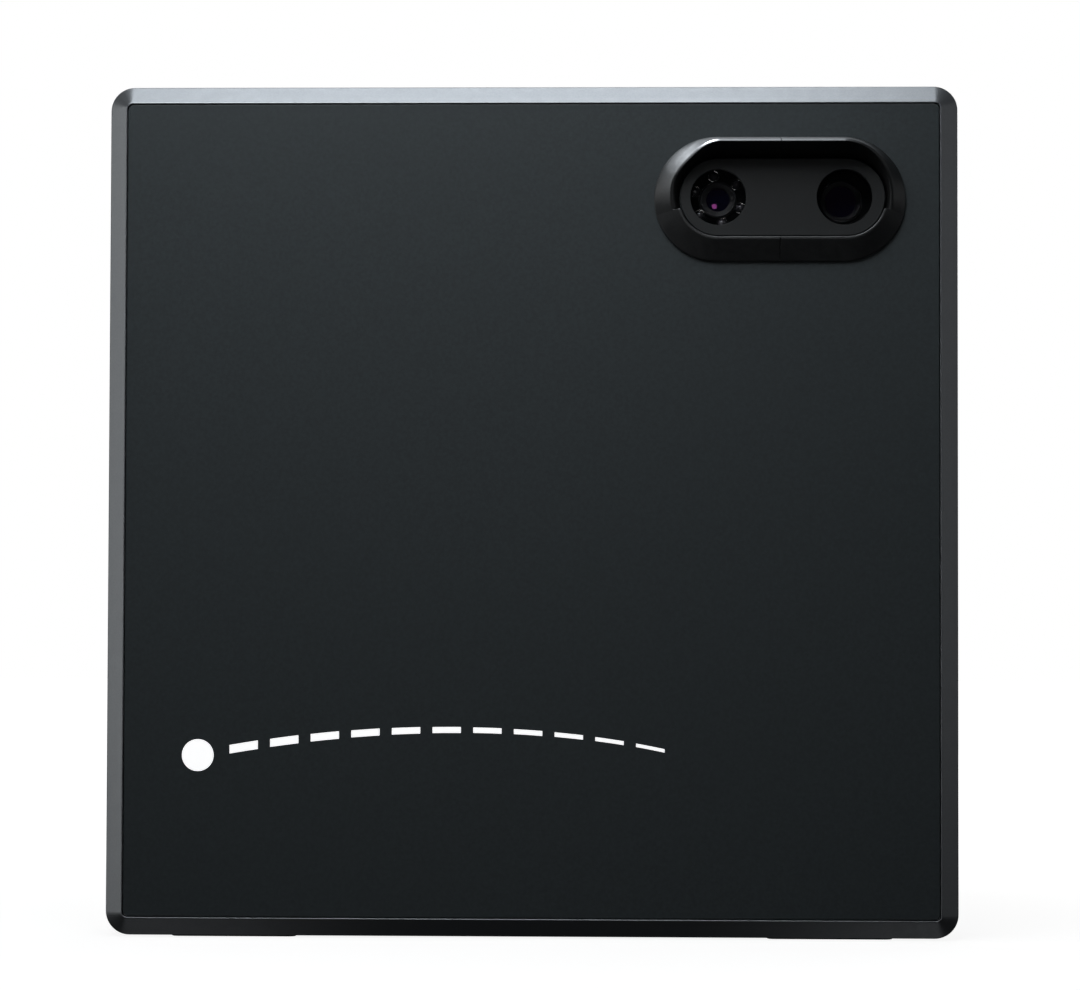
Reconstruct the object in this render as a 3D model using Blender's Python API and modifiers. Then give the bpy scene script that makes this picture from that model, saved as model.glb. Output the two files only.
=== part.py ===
"""Square radar launch monitor for golf, standing on its feet with the rear leg out.

Run it with: blender --background --python part.py

Sizes are millimetres in the assembly frame: X to the right as the golfer's side of the unit is seen
from the front, Y from the front face to the back, Z up from the ground. The helpers turn them into
metres. An empty at the assembly's middle depth carries everything, so that the object is centred.
"""

import math

import bmesh
import bpy
from mathutils import Matrix, Vector

MM = 0.001

# Housing
SIDE = 300.0  # width and height of the square housing
DEPTH = 45.0
CORNER_RADIUS = 8.4
FRONT_CHAMFER = 6.2
REAR_ROUNDING = 3.0
WALL = 4.0
BACK_WALL = 3.0
FOOT_HEIGHT = 0.5  # how far the feet stand proud
FOOT_X = 105.0
GAP = 0.3  # clearance between pieces that touch
BEZEL_BACK = 17.0
FRAME_BACK = 33.0
MIDDLE_Z = FOOT_HEIGHT + SIDE / 2
TOP_Z = FOOT_HEIGHT + SIDE
INSIDE = SIDE - 2 * WALL
INSIDE_RADIUS = CORNER_RADIUS - WALL

# Front cover and its seat in the bezel
RADOME_SIDE = SIDE - 2 * FRONT_CHAMFER - 1.4
RADOME_FRONT = 0.2
RADOME_BACK = 2.8
LEDGE_FRONT = 4.0
LEDGE_BACK = 6.5
LEDGE_OPENING = 276.0

# Tripod insert in the bottom
INSERT_Y = 23.5
INSERT_RADIUS = 4.2

# Bulkhead inside the housing frame
BULKHEAD_FRONT = 20.0
BULKHEAD_BACK = 22.0

# Camera group, about the centre of the hood's footprint
HOOD_X = 87.1
HOOD_Z = MIDDLE_Z + 109.3
HOOD_LENGTH = 88.2
HOOD_HEIGHT = 43.9
HOOD_BACK = -0.1
VISOR_FRONT = -14.0  # at the top, where the visor is deepest
FLANK_SHARE = 0.75  # how far up the lip's flank the visor's two ends come down
RIM_SHARE = 0.13  # the rim's width there, as a share of the flank's
CORNER_CUT = {-1: 1.5, 1: 0.0}  # off the rim's upper corner on the left and right half
VISOR_ANGLES = (90, 75, 60, 45, 30, 15, 0, -14)  # degrees above the hood's long axis
LIP_ANGLES = (-20, -30, -45, -60, -75, -90)
LIP_FRONT = -4.0
LIP_WALL = 0.9
RIM_OUTER = (77.8, 34.8, 0.4, 2.3)  # the visor's rim: length, height and offset from the foot's centre
RIM_INNER = (75.8, 32.8, 0.4, 2.3)
RIM_CURVE = 0.65  # under 1, so that the rim drops faster beside its top
PLATE_X = HOOD_X + 0.9
PLATE_Z = HOOD_Z + 0.5
PLATE_LENGTH = 71.8
PLATE_HEIGHT = 27.2
PLATE_FRONT = -2.5
WINDOW_MIDDLE_X = HOOD_X + 0.5
WINDOW_SPACING = 44.3
WINDOW_RADIUS = 9.85
APERTURE_LENGTH = 66.0
APERTURE_HEIGHT = 21.6
WELL_RADIUS = 10.5
VIDEO_LENS_SHIFT = -0.7  # the video lens sits a little off its window's centre
LEFT_LENS_RADIUS = 6.4
RIGHT_LENS_RADIUS = 7.5
LENS_BACK = 18.0
LED_CIRCLE = 8.45
LED_RADIUS = 1.5
LED_COUNT = 6
RIBBON_TOP = 257.0  # where the camera's flat cable goes through the bulkhead

# Rear leg, folded out flat behind the unit
LEG_AXIS_Y = 40.0
LEG_AXIS_Z = 10.5
LEG_THICKNESS = 10.0
LEG_HALF_WIDTH = 26.9
LEG_TIP_RADIUS = 11.0
LEG_REACH = 96.0  # hinge axis to levelling screw
PIN_RADIUS = 2.5
SCREW_RADIUS = 3.0
STEM_TOP = 16.2  # clears the tub's floor with the leg folded in and the foot wound right up
WHEEL_RADIUS = 13.0
WHEEL_THICKNESS = 4.0
WHEEL_SLOT = WHEEL_THICKNESS + 2 * GAP
PAD_RADIUS = 9.0
TUB_FLOOR = 33.0
TUB_HALF_WIDTH = 36.0
TUB_LOW = 4.9
TUB_HIGH = 124.0
TUB_WALL = 3.0
EAR_THICKNESS = 4.0

# Battery, and its lead's route from the frame down to the main board
BATTERY_X = -55.0
BATTERY_Z = 212.0
LEAD_ROUTE = (
    (15.6, 32, 198),
    (20, 32, 197.5),
    (27, 31.5, 190),
    (33, 30, 176),
    (36, 28.5, 164),
    (36, 27.6, 160.9),
)

# Port bay and its door, on the back
BAY_LEFT = -128.0
BAY_RIGHT = -72.0
BAY_LOW = 25.0
BAY_HIGH = 55.0
BAY_FLOOR = 36.0
DOOR_AXIS_X = -133.2
DOOR_AXIS_Y = 42.8
DOOR_BACK = 44.9
DOOR_FRONT = 42.6
DOOR_LEFT = -130.6
DOOR_RIGHT = -69.7
DOOR_LOW = 22.9
DOOR_HIGH = 57.1
KNUCKLE_RADIUS = 2.1
KNUCKLE_LOW = 28.0
KNUCKLE_HIGH = 52.0
DOOR_PIN_RADIUS = 0.85
JACK_BASE_Z = 33.2
JACK_MOUTH = BAY_FLOOR + 1.5

# Heat sink window in the back
SINK_X = 90.0
SINK_Z = 88.0
SINK_WIDTH = 80.0
SINK_HEIGHT = 128.0
FIN_COUNT = 13
FIN_THICKNESS = 2.0

# Controls in the top edge
CONTROL_Y = (BEZEL_BACK + FRAME_BACK) / 2
BUTTON_X = 50.0
BUTTON_RADIUS = 4.7
DISPLAY_LENGTH = 50.0
DISPLAY_WIDTH = 11.0

# Fasteners
SCREW_X = 139.0
SCREW_ZS = (14.0, MIDDLE_Z, TOP_Z - 12.0)

CORNER_STEPS = 5
ROUND_SIDES = 20
SMALL_SIDES = 10
OVERRUN = 2.0  # how far a cutter passes the faces it opens

ASSEMBLY_FRONT = VISOR_FRONT
ASSEMBLY_BACK = LEG_AXIS_Y + LEG_REACH + WHEEL_RADIUS
ASSEMBLY_MIDDLE_Y = (ASSEMBLY_FRONT + ASSEMBLY_BACK) / 2

FINISHES = {
    # name: (base colour, roughness, metallic)
    "radome_plastic": ((0.032, 0.038, 0.042), 0.55, 0.0),
    "bezel_metal": ((0.16, 0.17, 0.18), 0.38, 0.7),
    "housing_metal": ((0.12, 0.125, 0.13), 0.45, 0.7),
    "cover_metal": ((0.05, 0.053, 0.056), 0.5, 0.5),
    "hood_plastic": ((0.012, 0.012, 0.013), 0.45, 0.0),
    "window_plate": ((0.02, 0.021, 0.022), 0.5, 0.0),
    "clear_glass": ((0.6, 0.65, 0.66), 0.05, 0.0),
    "lens_glass": ((0.05, 0.02, 0.09), 0.05, 0.0),
    "led_epoxy": ((0.25, 0.24, 0.26), 0.15, 0.0),
    "baffle_black": ((0.006, 0.006, 0.006), 0.8, 0.0),
    "board_green": ((0.02, 0.11, 0.05), 0.5, 0.0),
    "shield_metal": ((0.55, 0.56, 0.57), 0.35, 0.9),
    "heat_sink_metal": ((0.05, 0.05, 0.055), 0.45, 0.8),
    "battery_wrap": ((0.02, 0.09, 0.22), 0.4, 0.0),
    "brass": ((0.6, 0.42, 0.12), 0.3, 1.0),
    "steel": ((0.5, 0.5, 0.51), 0.3, 1.0),
    "leg_metal": ((0.13, 0.135, 0.14), 0.42, 0.7),
    "rubber": ((0.015, 0.015, 0.015), 0.85, 0.0),
    "connector_metal": ((0.6, 0.6, 0.6), 0.3, 0.9),
    "connector_plastic": ((0.015, 0.015, 0.016), 0.5, 0.0),
    "display_black": ((0.008, 0.009, 0.012), 0.2, 0.0),
    "cable_red": ((0.35, 0.02, 0.02), 0.5, 0.0),
    "ribbon_amber": ((0.5, 0.22, 0.03), 0.4, 0.0),
}

# Rotations that stand a shape made about local Z, or drawn in local X and Y, along an assembly axis
TURN_TO = {
    "X": Matrix.Rotation(math.pi / 2, 4, "Y"),
    "Y": Matrix.Rotation(-math.pi / 2, 4, "X"),
    "Z": Matrix.Identity(4),
}
DRAW_ACROSS = {
    "X": Matrix.Rotation(math.pi / 2, 4, "Z") @ Matrix.Rotation(math.pi / 2, 4, "X"),
    "Y": Matrix.Rotation(math.pi / 2, 4, "X"),
    "Z": Matrix.Identity(4),
}


def clear_scene():
    for obj in list(bpy.data.objects):
        bpy.data.objects.remove(obj)


def new_collection(name):
    collection = bpy.data.collections.new(name)
    bpy.context.scene.collection.children.link(collection)
    return collection


def new_material(name, colour, roughness, metallic):
    material = bpy.data.materials.new(name)
    material.use_nodes = True
    shader = material.node_tree.nodes["Principled BSDF"]
    shader.inputs["Base Color"].default_value = (*colour, 1.0)
    shader.inputs["Roughness"].default_value = roughness
    shader.inputs["Metallic"].default_value = metallic
    return material


clear_scene()
MODEL = new_collection("launch_monitor")
CUTTERS = new_collection("cutters")
MATERIALS = {name: new_material(name, *finish) for name, finish in FINISHES.items()}


# ---------------------------------------------------------------- outlines

def arc(centre, radius, start, end, steps):
    """Points along an arc, with angles in degrees."""
    points = []
    for step in range(steps + 1):
        angle = math.radians(start + (end - start) * step / steps)
        points.append((centre[0] + radius * math.cos(angle), centre[1] + radius * math.sin(angle)))
    return points


def circle(radius, sides=ROUND_SIDES):
    return arc((0, 0), radius, 0, 360, sides)[:-1]


def rounded_rectangle(width, height, radius, steps=CORNER_STEPS):
    """A rectangle about the origin with round corners. With radius half the height it is a stadium."""
    across = width / 2 - radius
    up = height / 2 - radius
    points = []
    for corner, (x, z) in enumerate(((across, up), (-across, up), (-across, -up), (across, -up))):
        points += arc((x, z), radius, 90 * corner, 90 * corner + 90, steps)
    kept = [points[0]]
    for point in points[1:]:
        if math.dist(point, kept[-1]) > 1e-6:
            kept.append(point)
    if math.dist(kept[0], kept[-1]) < 1e-6:
        kept.pop()
    return kept


def stadium(length, height):
    return rounded_rectangle(length, height, height / 2)


# ---------------------------------------------------------------- objects

def attach(obj, position, parent):
    """Hangs obj from parent, at a position in the assembly frame."""
    obj["position"] = position
    hung_at = Vector(parent["position"]) if parent else Vector((0, 0, 0))
    obj.parent = parent
    obj.location = (Vector(position) - hung_at) * MM


def new_pivot(name, position, parent=None):
    pivot = bpy.data.objects.new(name, None)
    MODEL.objects.link(pivot)
    attach(pivot, position, parent)
    return pivot


BASE = bpy.data.objects.new("unit", None)
MODEL.objects.link(BASE)
BASE["position"] = (0.0, 0.0, 0.0)
BASE.location = (0, -ASSEMBLY_MIDDLE_Y * MM, 0)
LEG_AXIS = new_pivot("leg_axis", (0, LEG_AXIS_Y, LEG_AXIS_Z), BASE)
LEVEL_AXIS = new_pivot("level_axis", (0, LEG_AXIS_Y + LEG_REACH, LEG_AXIS_Z), LEG_AXIS)
DOOR_AXIS = new_pivot("door_axis", (DOOR_AXIS_X, DOOR_AXIS_Y, (DOOR_LOW + DOOR_HIGH) / 2), BASE)


def new_object(name, mesh, centre, finish=None, parent=BASE):
    """A part when it has a finish, otherwise a cutter or a piece to join."""
    obj = bpy.data.objects.new(name, mesh)
    if finish:
        mesh.materials.append(MATERIALS[finish])
        MODEL.objects.link(obj)
    else:
        CUTTERS.objects.link(obj)
        obj.hide_render = True
        obj.display_type = "WIRE"
    attach(obj, centre, parent)
    return obj


def shade_round(mesh):
    mesh.shade_smooth()
    mesh.set_sharp_from_angle(angle=math.radians(35))


def mesh_from(build, *args, **settings):
    """A new mesh filled by one of bmesh's create operators."""
    mesh = bpy.data.meshes.new("shape")
    shape = bmesh.new()
    build(shape, *args, **settings)
    shape.to_mesh(mesh)
    shape.free()
    return mesh


def box(name, low, high, finish=None, parent=BASE):
    """A box between two corners of the assembly frame."""
    size = Vector(high) - Vector(low)
    scale = Matrix.Diagonal((*(size * MM), 1))
    mesh = mesh_from(bmesh.ops.create_cube, size=1, matrix=scale)
    return new_object(name, mesh, (Vector(low) + Vector(high)) / 2, finish, parent)


def cylinder(name, radius, low, high, axis="Y", finish=None, parent=BASE, sides=ROUND_SIDES):
    """A cylinder between the centres of its two ends."""
    mesh = mesh_from(
        bmesh.ops.create_cone,
        cap_ends=True,
        segments=sides,
        radius1=radius * MM,
        radius2=radius * MM,
        depth=math.dist(low, high) * MM,
        matrix=TURN_TO[axis],
    )
    shade_round(mesh)
    return new_object(name, mesh, (Vector(low) + Vector(high)) / 2, finish, parent)


def plate(name, outline, centre, thickness, axis="Y", finish=None, parent=BASE):
    """A flat outline with a thickness along one assembly axis, centred there."""
    curve = bpy.data.curves.new("outline", "CURVE")
    curve.dimensions = "2D"
    curve.fill_mode = "BOTH"
    curve.extrude = thickness * MM / 2
    spline = curve.splines.new("POLY")
    spline.points.add(len(outline) - 1)
    for point, (u, v) in zip(spline.points, outline):
        point.co = (u * MM, v * MM, 0, 1)
    spline.use_cyclic_u = True
    drawn = bpy.data.objects.new("outline", curve)
    CUTTERS.objects.link(drawn)
    graph = bpy.context.evaluated_depsgraph_get()
    mesh = bpy.data.meshes.new_from_object(drawn.evaluated_get(graph))
    bpy.data.objects.remove(drawn)
    mesh.transform(DRAW_ACROSS[axis])
    weld(mesh)
    shade_round(mesh)
    return new_object(name, mesh, centre, finish, parent)


def weld(mesh):
    """Joins the caps of a filled curve to its sides, with every face pointing out."""
    shape = bmesh.new()
    shape.from_mesh(mesh)
    bmesh.ops.remove_doubles(shape, verts=shape.verts, dist=1e-7)
    bmesh.ops.dissolve_limit(shape, angle_limit=1e-3, verts=shape.verts, edges=shape.edges)
    bmesh.ops.recalc_face_normals(shape, faces=shape.faces)
    shape.to_mesh(mesh)
    shape.free()


def slab(name, outline, x, z, front, back, finish=None, parent=BASE):
    """A plate whose outline is seen from the front, between two depths."""
    return plate(name, outline, (x, (front + back) / 2, z), back - front, "Y", finish, parent)


def turned(name, profile, centre, axis="Y", finish=None, parent=BASE, sides=ROUND_SIDES, ring=False):
    """A profile of (radius, height) turned about an axis. It runs down the outer side, and a ring's
    profile comes back up the inner side."""
    mesh = bpy.data.meshes.new("profile")
    points = [(radius * MM, 0, height * MM) for radius, height in profile]
    edges = [(i, i + 1) for i in range(len(points) - 1)]
    if ring:
        edges.append((len(points) - 1, 0))
    mesh.from_pydata(points, edges, [])
    obj = new_object(name, mesh, centre, finish, parent)
    obj.rotation_euler = TURN_TO[axis].to_euler()
    screw = obj.modifiers.new("turn", "SCREW")
    screw.axis = "Z"
    screw.steps = sides
    screw.render_steps = sides
    screw.use_merge_vertices = True
    screw.merge_threshold = 1e-6
    screw.use_smooth_shade = False
    return obj


def cut(obj, *tools):
    for tool in tools:
        boolean = obj.modifiers.new(f"cut {tool.name}", "BOOLEAN")
        boolean.operation = "DIFFERENCE"
        boolean.object = tool


def join(obj, *tools):
    for tool in tools:
        boolean = obj.modifiers.new(f"join {tool.name}", "BOOLEAN")
        boolean.operation = "UNION"
        boolean.object = tool


def bevel(obj, width, segments=1, chosen=None):
    """Bevels every sharp edge, or only those whose two ends satisfy chosen."""
    modifier = obj.modifiers.new("edges", "BEVEL")
    modifier.width = width * MM
    modifier.segments = segments
    modifier.use_clamp_overlap = False
    if chosen is None:
        modifier.limit_method = "ANGLE"
        modifier.angle_limit = math.radians(40)
        return
    modifier.limit_method = "WEIGHT"
    mesh = obj.data
    weights = mesh.attributes.new("bevel_weight_edge", "FLOAT", "EDGE")
    for edge in mesh.edges:
        ends = [mesh.vertices[i].co for i in edge.vertices]
        weights.data[edge.index].value = float(all(chosen(end) for end in ends))


def grid(columns, rows, pitch_x, pitch_z):
    """Centres of a rectangular array about the origin."""
    for column in range(columns):
        for row in range(rows):
            yield (column - (columns - 1) / 2) * pitch_x, (row - (rows - 1) / 2) * pitch_z


def stud_block(name, places, size, low_y, high_y):
    """Equal boxes at several places seen from the front, as one tool to join to a board."""
    mesh = bpy.data.meshes.new("studs")
    shape = bmesh.new()
    for x, z in places:
        centre = Matrix.Translation(Vector((x, (low_y + high_y) / 2, z)) * MM)
        scale = Matrix.Diagonal((size[0] * MM, (high_y - low_y) * MM, size[1] * MM, 1))
        bmesh.ops.create_cube(shape, size=1, matrix=centre @ scale)
    shape.to_mesh(mesh)
    shape.free()
    return new_object(name, mesh, (0, 0, 0))


# ---------------------------------------------------------------- housing

def make_bezel():
    outline = rounded_rectangle(SIDE, SIDE, CORNER_RADIUS)
    bezel = slab("front_bezel", outline, 0, MIDDLE_Z, 0, BEZEL_BACK, "bezel_metal")
    half_depth = BEZEL_BACK * MM / 2
    bevel(bezel, FRONT_CHAMFER, chosen=lambda end: end.y < -half_depth * 0.99)
    seat = RADOME_SIDE + 2 * GAP
    opening = rounded_rectangle(LEDGE_OPENING, LEDGE_OPENING, 3)
    inside = rounded_rectangle(INSIDE, INSIDE, INSIDE_RADIUS)
    cut(
        bezel,
        slab("bezel_seat", rounded_rectangle(seat, seat, 2.1), 0, MIDDLE_Z, -OVERRUN, LEDGE_FRONT),
        slab("bezel_opening", opening, 0, MIDDLE_Z, LEDGE_FRONT - 1, LEDGE_BACK + 1),
        slab("bezel_inside", inside, 0, MIDDLE_Z, LEDGE_BACK, BEZEL_BACK + OVERRUN),
    )
    return bezel


def make_radome():
    radome = slab(
        "radome", rounded_rectangle(RADOME_SIDE, RADOME_SIDE, 1.8), 0, MIDDLE_Z,
        RADOME_FRONT, RADOME_BACK, "radome_plastic",
    )
    aperture = stadium(APERTURE_LENGTH, APERTURE_HEIGHT)
    cut(radome, slab("camera_aperture", aperture, PLATE_X, PLATE_Z, -OVERRUN, RADOME_BACK + OVERRUN))
    gasket = slab(
        "radome_gasket", rounded_rectangle(RADOME_SIDE - 1, RADOME_SIDE - 1, 2), 0, MIDDLE_Z,
        RADOME_BACK + GAP, LEDGE_FRONT - GAP, "rubber",
    )
    opening = rounded_rectangle(LEDGE_OPENING + 2, LEDGE_OPENING + 2, 3)
    cut(gasket, slab("gasket_opening", opening, 0, MIDDLE_Z, RADOME_BACK - 1, LEDGE_FRONT + 1))


def make_housing_frame():
    frame = slab(
        "housing_frame", rounded_rectangle(SIDE, SIDE, CORNER_RADIUS), 0, MIDDLE_Z,
        BEZEL_BACK + GAP, FRAME_BACK, "housing_metal",
    )
    inside = rounded_rectangle(INSIDE, INSIDE, INSIDE_RADIUS)
    through = (BULKHEAD_FRONT - 1, BULKHEAD_BACK + 1)
    cut(
        frame,
        slab("frame_front_space", inside, 0, MIDDLE_Z, BEZEL_BACK - OVERRUN, BULKHEAD_FRONT),
        slab("frame_rear_space", inside, 0, MIDDLE_Z, BULKHEAD_BACK, FRAME_BACK + OVERRUN),
        box("control_notch", (-42, through[0], TOP_Z - 17), (68, through[1], TOP_Z - WALL + 0.4)),
        slab("ribbon_slot", rounded_rectangle(24, 6, 1.5), HOOD_X, RIBBON_TOP, *through),
    )
    boss_top = FOOT_HEIGHT + 11
    join(frame, cylinder("insert_boss", 6, (0, INSERT_Y, FOOT_HEIGHT + 1), (0, INSERT_Y, boss_top), "Z"))
    hole_top = boss_top - 1.5
    relief = TUB_HALF_WIDTH + TUB_WALL + GAP
    cut(
        frame,
        cylinder("insert_hole", INSERT_RADIUS + GAP, (0, INSERT_Y, 0), (0, INSERT_Y, hole_top), "Z"),
        box("tub_relief", (-relief, 29.9, 2.2), (relief, FRAME_BACK + OVERRUN, 5.5)),
    )
    for index, (x, z) in enumerate(screw_places()):
        ends = (x, BULKHEAD_BACK - 1, z), (x, FRAME_BACK, z)
        join(frame, cylinder(f"boss_{index}", 4.5, *ends, sides=SMALL_SIDES))
    for index, (x, z) in enumerate(screw_places()):
        ends = (x, 24.5, z), (x, FRAME_BACK + OVERRUN, z)
        cut(frame, cylinder(f"pilot_{index}", 1.75, *ends, sides=SMALL_SIDES))
    top_middle = (0, CONTROL_Y, TOP_Z)
    rebate = rounded_rectangle(DISPLAY_LENGTH + 2 * GAP, DISPLAY_WIDTH + 2 * GAP, 1.6)
    button_ends = (BUTTON_X, CONTROL_Y, TOP_Z - 8), (BUTTON_X, CONTROL_Y, TOP_Z + OVERRUN)
    cut(
        frame,
        plate("display_opening", rounded_rectangle(46, 8, 1), top_middle, 12, "Z"),
        plate("display_rebate", rebate, top_middle, 4, "Z"),
        cylinder("button_hole", BUTTON_RADIUS + GAP, *button_ends, "Z"),
    )


def screw_places():
    return [(side * SCREW_X, z) for side in (-1, 1) for z in SCREW_ZS]


def make_rear_cover():
    cover = slab(
        "rear_cover", rounded_rectangle(SIDE, SIDE, CORNER_RADIUS), 0, MIDDLE_Z,
        FRAME_BACK + GAP, DEPTH, "cover_metal",
    )
    half_depth = (DEPTH - FRAME_BACK - GAP) * MM / 2
    bevel(cover, REAR_ROUNDING, 3, chosen=lambda end: end.y > half_depth * 0.99)
    inside = rounded_rectangle(INSIDE, INSIDE, INSIDE_RADIUS)
    cut(cover, slab("cover_space", inside, 0, MIDDLE_Z, FRAME_BACK - OVERRUN, DEPTH - BACK_WALL))
    join_cover_blocks(cover)
    cut_tub_and_sink(cover)
    cut_port_bay(cover)
    for index, (x, z) in enumerate(screw_places()):
        head_ends = (x, 41.5, z), (x, DEPTH + OVERRUN, z)
        shank_ends = (x, FRAME_BACK - OVERRUN, z), (x, 43, z)
        cut(
            cover,
            cylinder(f"counterbore_{index}", 3.4, *head_ends, sides=SMALL_SIDES),
            cylinder(f"screw_hole_{index}", 1.8, *shank_ends, sides=SMALL_SIDES),
        )
    groove = slab("gasket_groove", rounded_rectangle(298, 298, 7), 0, MIDDLE_Z, FRAME_BACK - 1, 34.6)
    cut(groove, slab("groove_island", rounded_rectangle(294.4, 294.4, 5.2), 0, MIDDLE_Z, 30, 36))
    cut(cover, groove)
    gasket = slab(
        "rear_gasket", rounded_rectangle(297.4, 297.4, 6.7), 0, MIDDLE_Z, FRAME_BACK + GAP, 34.3, "rubber"
    )
    cut(gasket, slab("rear_gasket_opening", rounded_rectangle(295, 295, 5.5), 0, MIDDLE_Z, 30, 36))


def join_cover_blocks(cover):
    """Solid blocks inside the cover, from which the tub, the port bay and the sink's frame are cut,
    and the columns that its screws go through."""
    wall_back = DEPTH - 1
    tub_side = TUB_HALF_WIDTH + TUB_WALL
    sink_low = (SINK_X - SINK_WIDTH / 2 - 5, 37.3, SINK_Z - SINK_HEIGHT / 2 - 5)
    sink_high = (SINK_X + SINK_WIDTH / 2 + 5, wall_back, SINK_Z + SINK_HEIGHT / 2 + 5)
    bay_low = (DOOR_AXIS_X - 6.3, BAY_FLOOR - 2.6, BAY_LOW - 5.5)
    join(
        cover,
        box("tub_block", (-tub_side, TUB_FLOOR - 2.8, 2.5), (tub_side, wall_back, TUB_HIGH + TUB_WALL)),
        box("bay_block", bay_low, (BAY_RIGHT + 6, wall_back, BAY_HIGH + 5.5)),
        box("sink_block", sink_low, sink_high),
    )
    for index, (x, z) in enumerate(screw_places()):
        ends = (x, FRAME_BACK + GAP, z), (x, wall_back, z)
        join(cover, cylinder(f"column_{index}", 5.5, *ends, sides=SMALL_SIDES))


def cut_tub_and_sink(cover):
    past_back = DEPTH + OVERRUN
    tub = rounded_rectangle(2 * TUB_HALF_WIDTH, TUB_HIGH - TUB_LOW, 5)
    sink = rounded_rectangle(SINK_WIDTH, SINK_HEIGHT, 5)
    cut(
        cover,
        slab("tub_space", tub, 0, (TUB_HIGH + TUB_LOW) / 2, TUB_FLOOR, past_back),
        slab("sink_opening", sink, SINK_X, SINK_Z, 35, past_back),
    )


def cut_port_bay(cover):
    """The bay with its sockets' holes, the rebate for the door, and the slot and holes of its hinge."""
    past_back = DEPTH + OVERRUN
    bay = rounded_rectangle(BAY_RIGHT - BAY_LEFT, BAY_HIGH - BAY_LOW, 3)
    bay_middle = ((BAY_LEFT + BAY_RIGHT) / 2, (BAY_LOW + BAY_HIGH) / 2)
    rebate = rounded_rectangle(DOOR_RIGHT - DOOR_LEFT + 2 * GAP, DOOR_HIGH - DOOR_LOW + 2 * GAP, 2.3)
    door_middle = ((DOOR_LEFT + DOOR_RIGHT) / 2, (DOOR_LOW + DOOR_HIGH) / 2)
    slot_low = (DOOR_AXIS_X - 3.4, DOOR_AXIS_Y - 2.6, DOOR_LOW - GAP)
    slot_high = (DOOR_LEFT + 1, past_back, DOOR_HIGH + GAP)
    pin_ends = [(DOOR_AXIS_X, DOOR_AXIS_Y, z) for z in (DOOR_LOW - 2.6, DOOR_HIGH + 2.6)]
    cut(
        cover,
        slab("bay_space", bay, *bay_middle, BAY_FLOOR, past_back),
        slab("door_rebate", rebate, *door_middle, DOOR_FRONT - GAP, past_back),
        box("hinge_slot", slot_low, slot_high),
        cylinder("door_pin_hole", DOOR_PIN_RADIUS + GAP, *pin_ends, "Z", sides=SMALL_SIDES),
    )
    for name, (x, width, height) in JACKS.items():
        hole = rounded_rectangle(width + 2 * GAP, height + 2 * GAP, 0.8, 1)
        cut(cover, slab(f"{name}_hole", hole, x, JACK_BASE_Z + height / 2, BAY_FLOOR - 5, BAY_FLOOR + 1))


def make_cover_screws():
    profile = (
        (0, 16.8), (1.5, 17.4), (1.5, 19.2), (2.6, 19.2), (3.0, 18.7), (3.0, 16.8), (1.45, 16.8),
        (1.45, 0.6), (0.9, 0), (0, 0),
    )
    for index, (x, z) in enumerate(screw_places(), start=1):
        turned(f"cover_screw_{index}", profile, (x, 25, z), "Y", "steel", sides=8)


def make_feet(bezel):
    """Two low rubber feet, sunk into the bottom of the bezel and held there by pegs."""
    y = 12
    pad_top = FOOT_HEIGHT + 0.8
    for side, word in ((-1, "left"), (1, "right")):
        x = side * FOOT_X
        pad = rounded_rectangle(44, 8, 2.5, 3)
        pocket = rounded_rectangle(44 + 2 * GAP, 8 + 2 * GAP, 2.8, 3)
        foot = plate(f"front_foot_{word}", pad, (x, y, pad_top / 2), pad_top, "Z", "rubber")
        cut(bezel, plate(f"foot_pocket_{word}", pocket, (x, y, 0), 2 * (pad_top + GAP), "Z"))
        for peg_x in (x - 14, x + 14):
            peg_ends = (peg_x, y, pad_top - 0.4), (peg_x, y, 4.2)
            hole_ends = (peg_x, y, 0), (peg_x, y, 6)
            join(foot, cylinder(f"peg_{peg_x}", 1.8, *peg_ends, "Z", sides=8))
            cut(bezel, cylinder(f"peg_hole_{peg_x}", 1.8 + GAP, *hole_ends, "Z", sides=8))


# ---------------------------------------------------------------- camera group

def ring_point(ring, side, angle):
    """The point of a stadium ring at an angle of its end arc, in degrees above the long axis. The
    ring is (length, height, x, z), with its centre relative to the hood's."""
    length, height, x, z = ring
    turn = math.radians(angle)
    reach = (length - height) / 2 + height / 2 * math.cos(turn)
    return side * reach + x, z + height / 2 * math.sin(turn)


def visor_point(ring, side, angle, foot, lip, share):
    """A point of the visor's rim, as (x, z). At its last angle it lies a share of the way up the
    lip's flank."""
    if angle == VISOR_ANGLES[-1]:
        return foot[0] + (lip[0] - foot[0]) * share, foot[1] + (lip[1] - foot[1]) * share
    length, height, x, z = ring
    cut = 2 * CORNER_CUT[side] * math.sin(2 * math.radians(angle)) ** 2
    return ring_point((length - cut, height - cut, x, z), side, angle)


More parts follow.
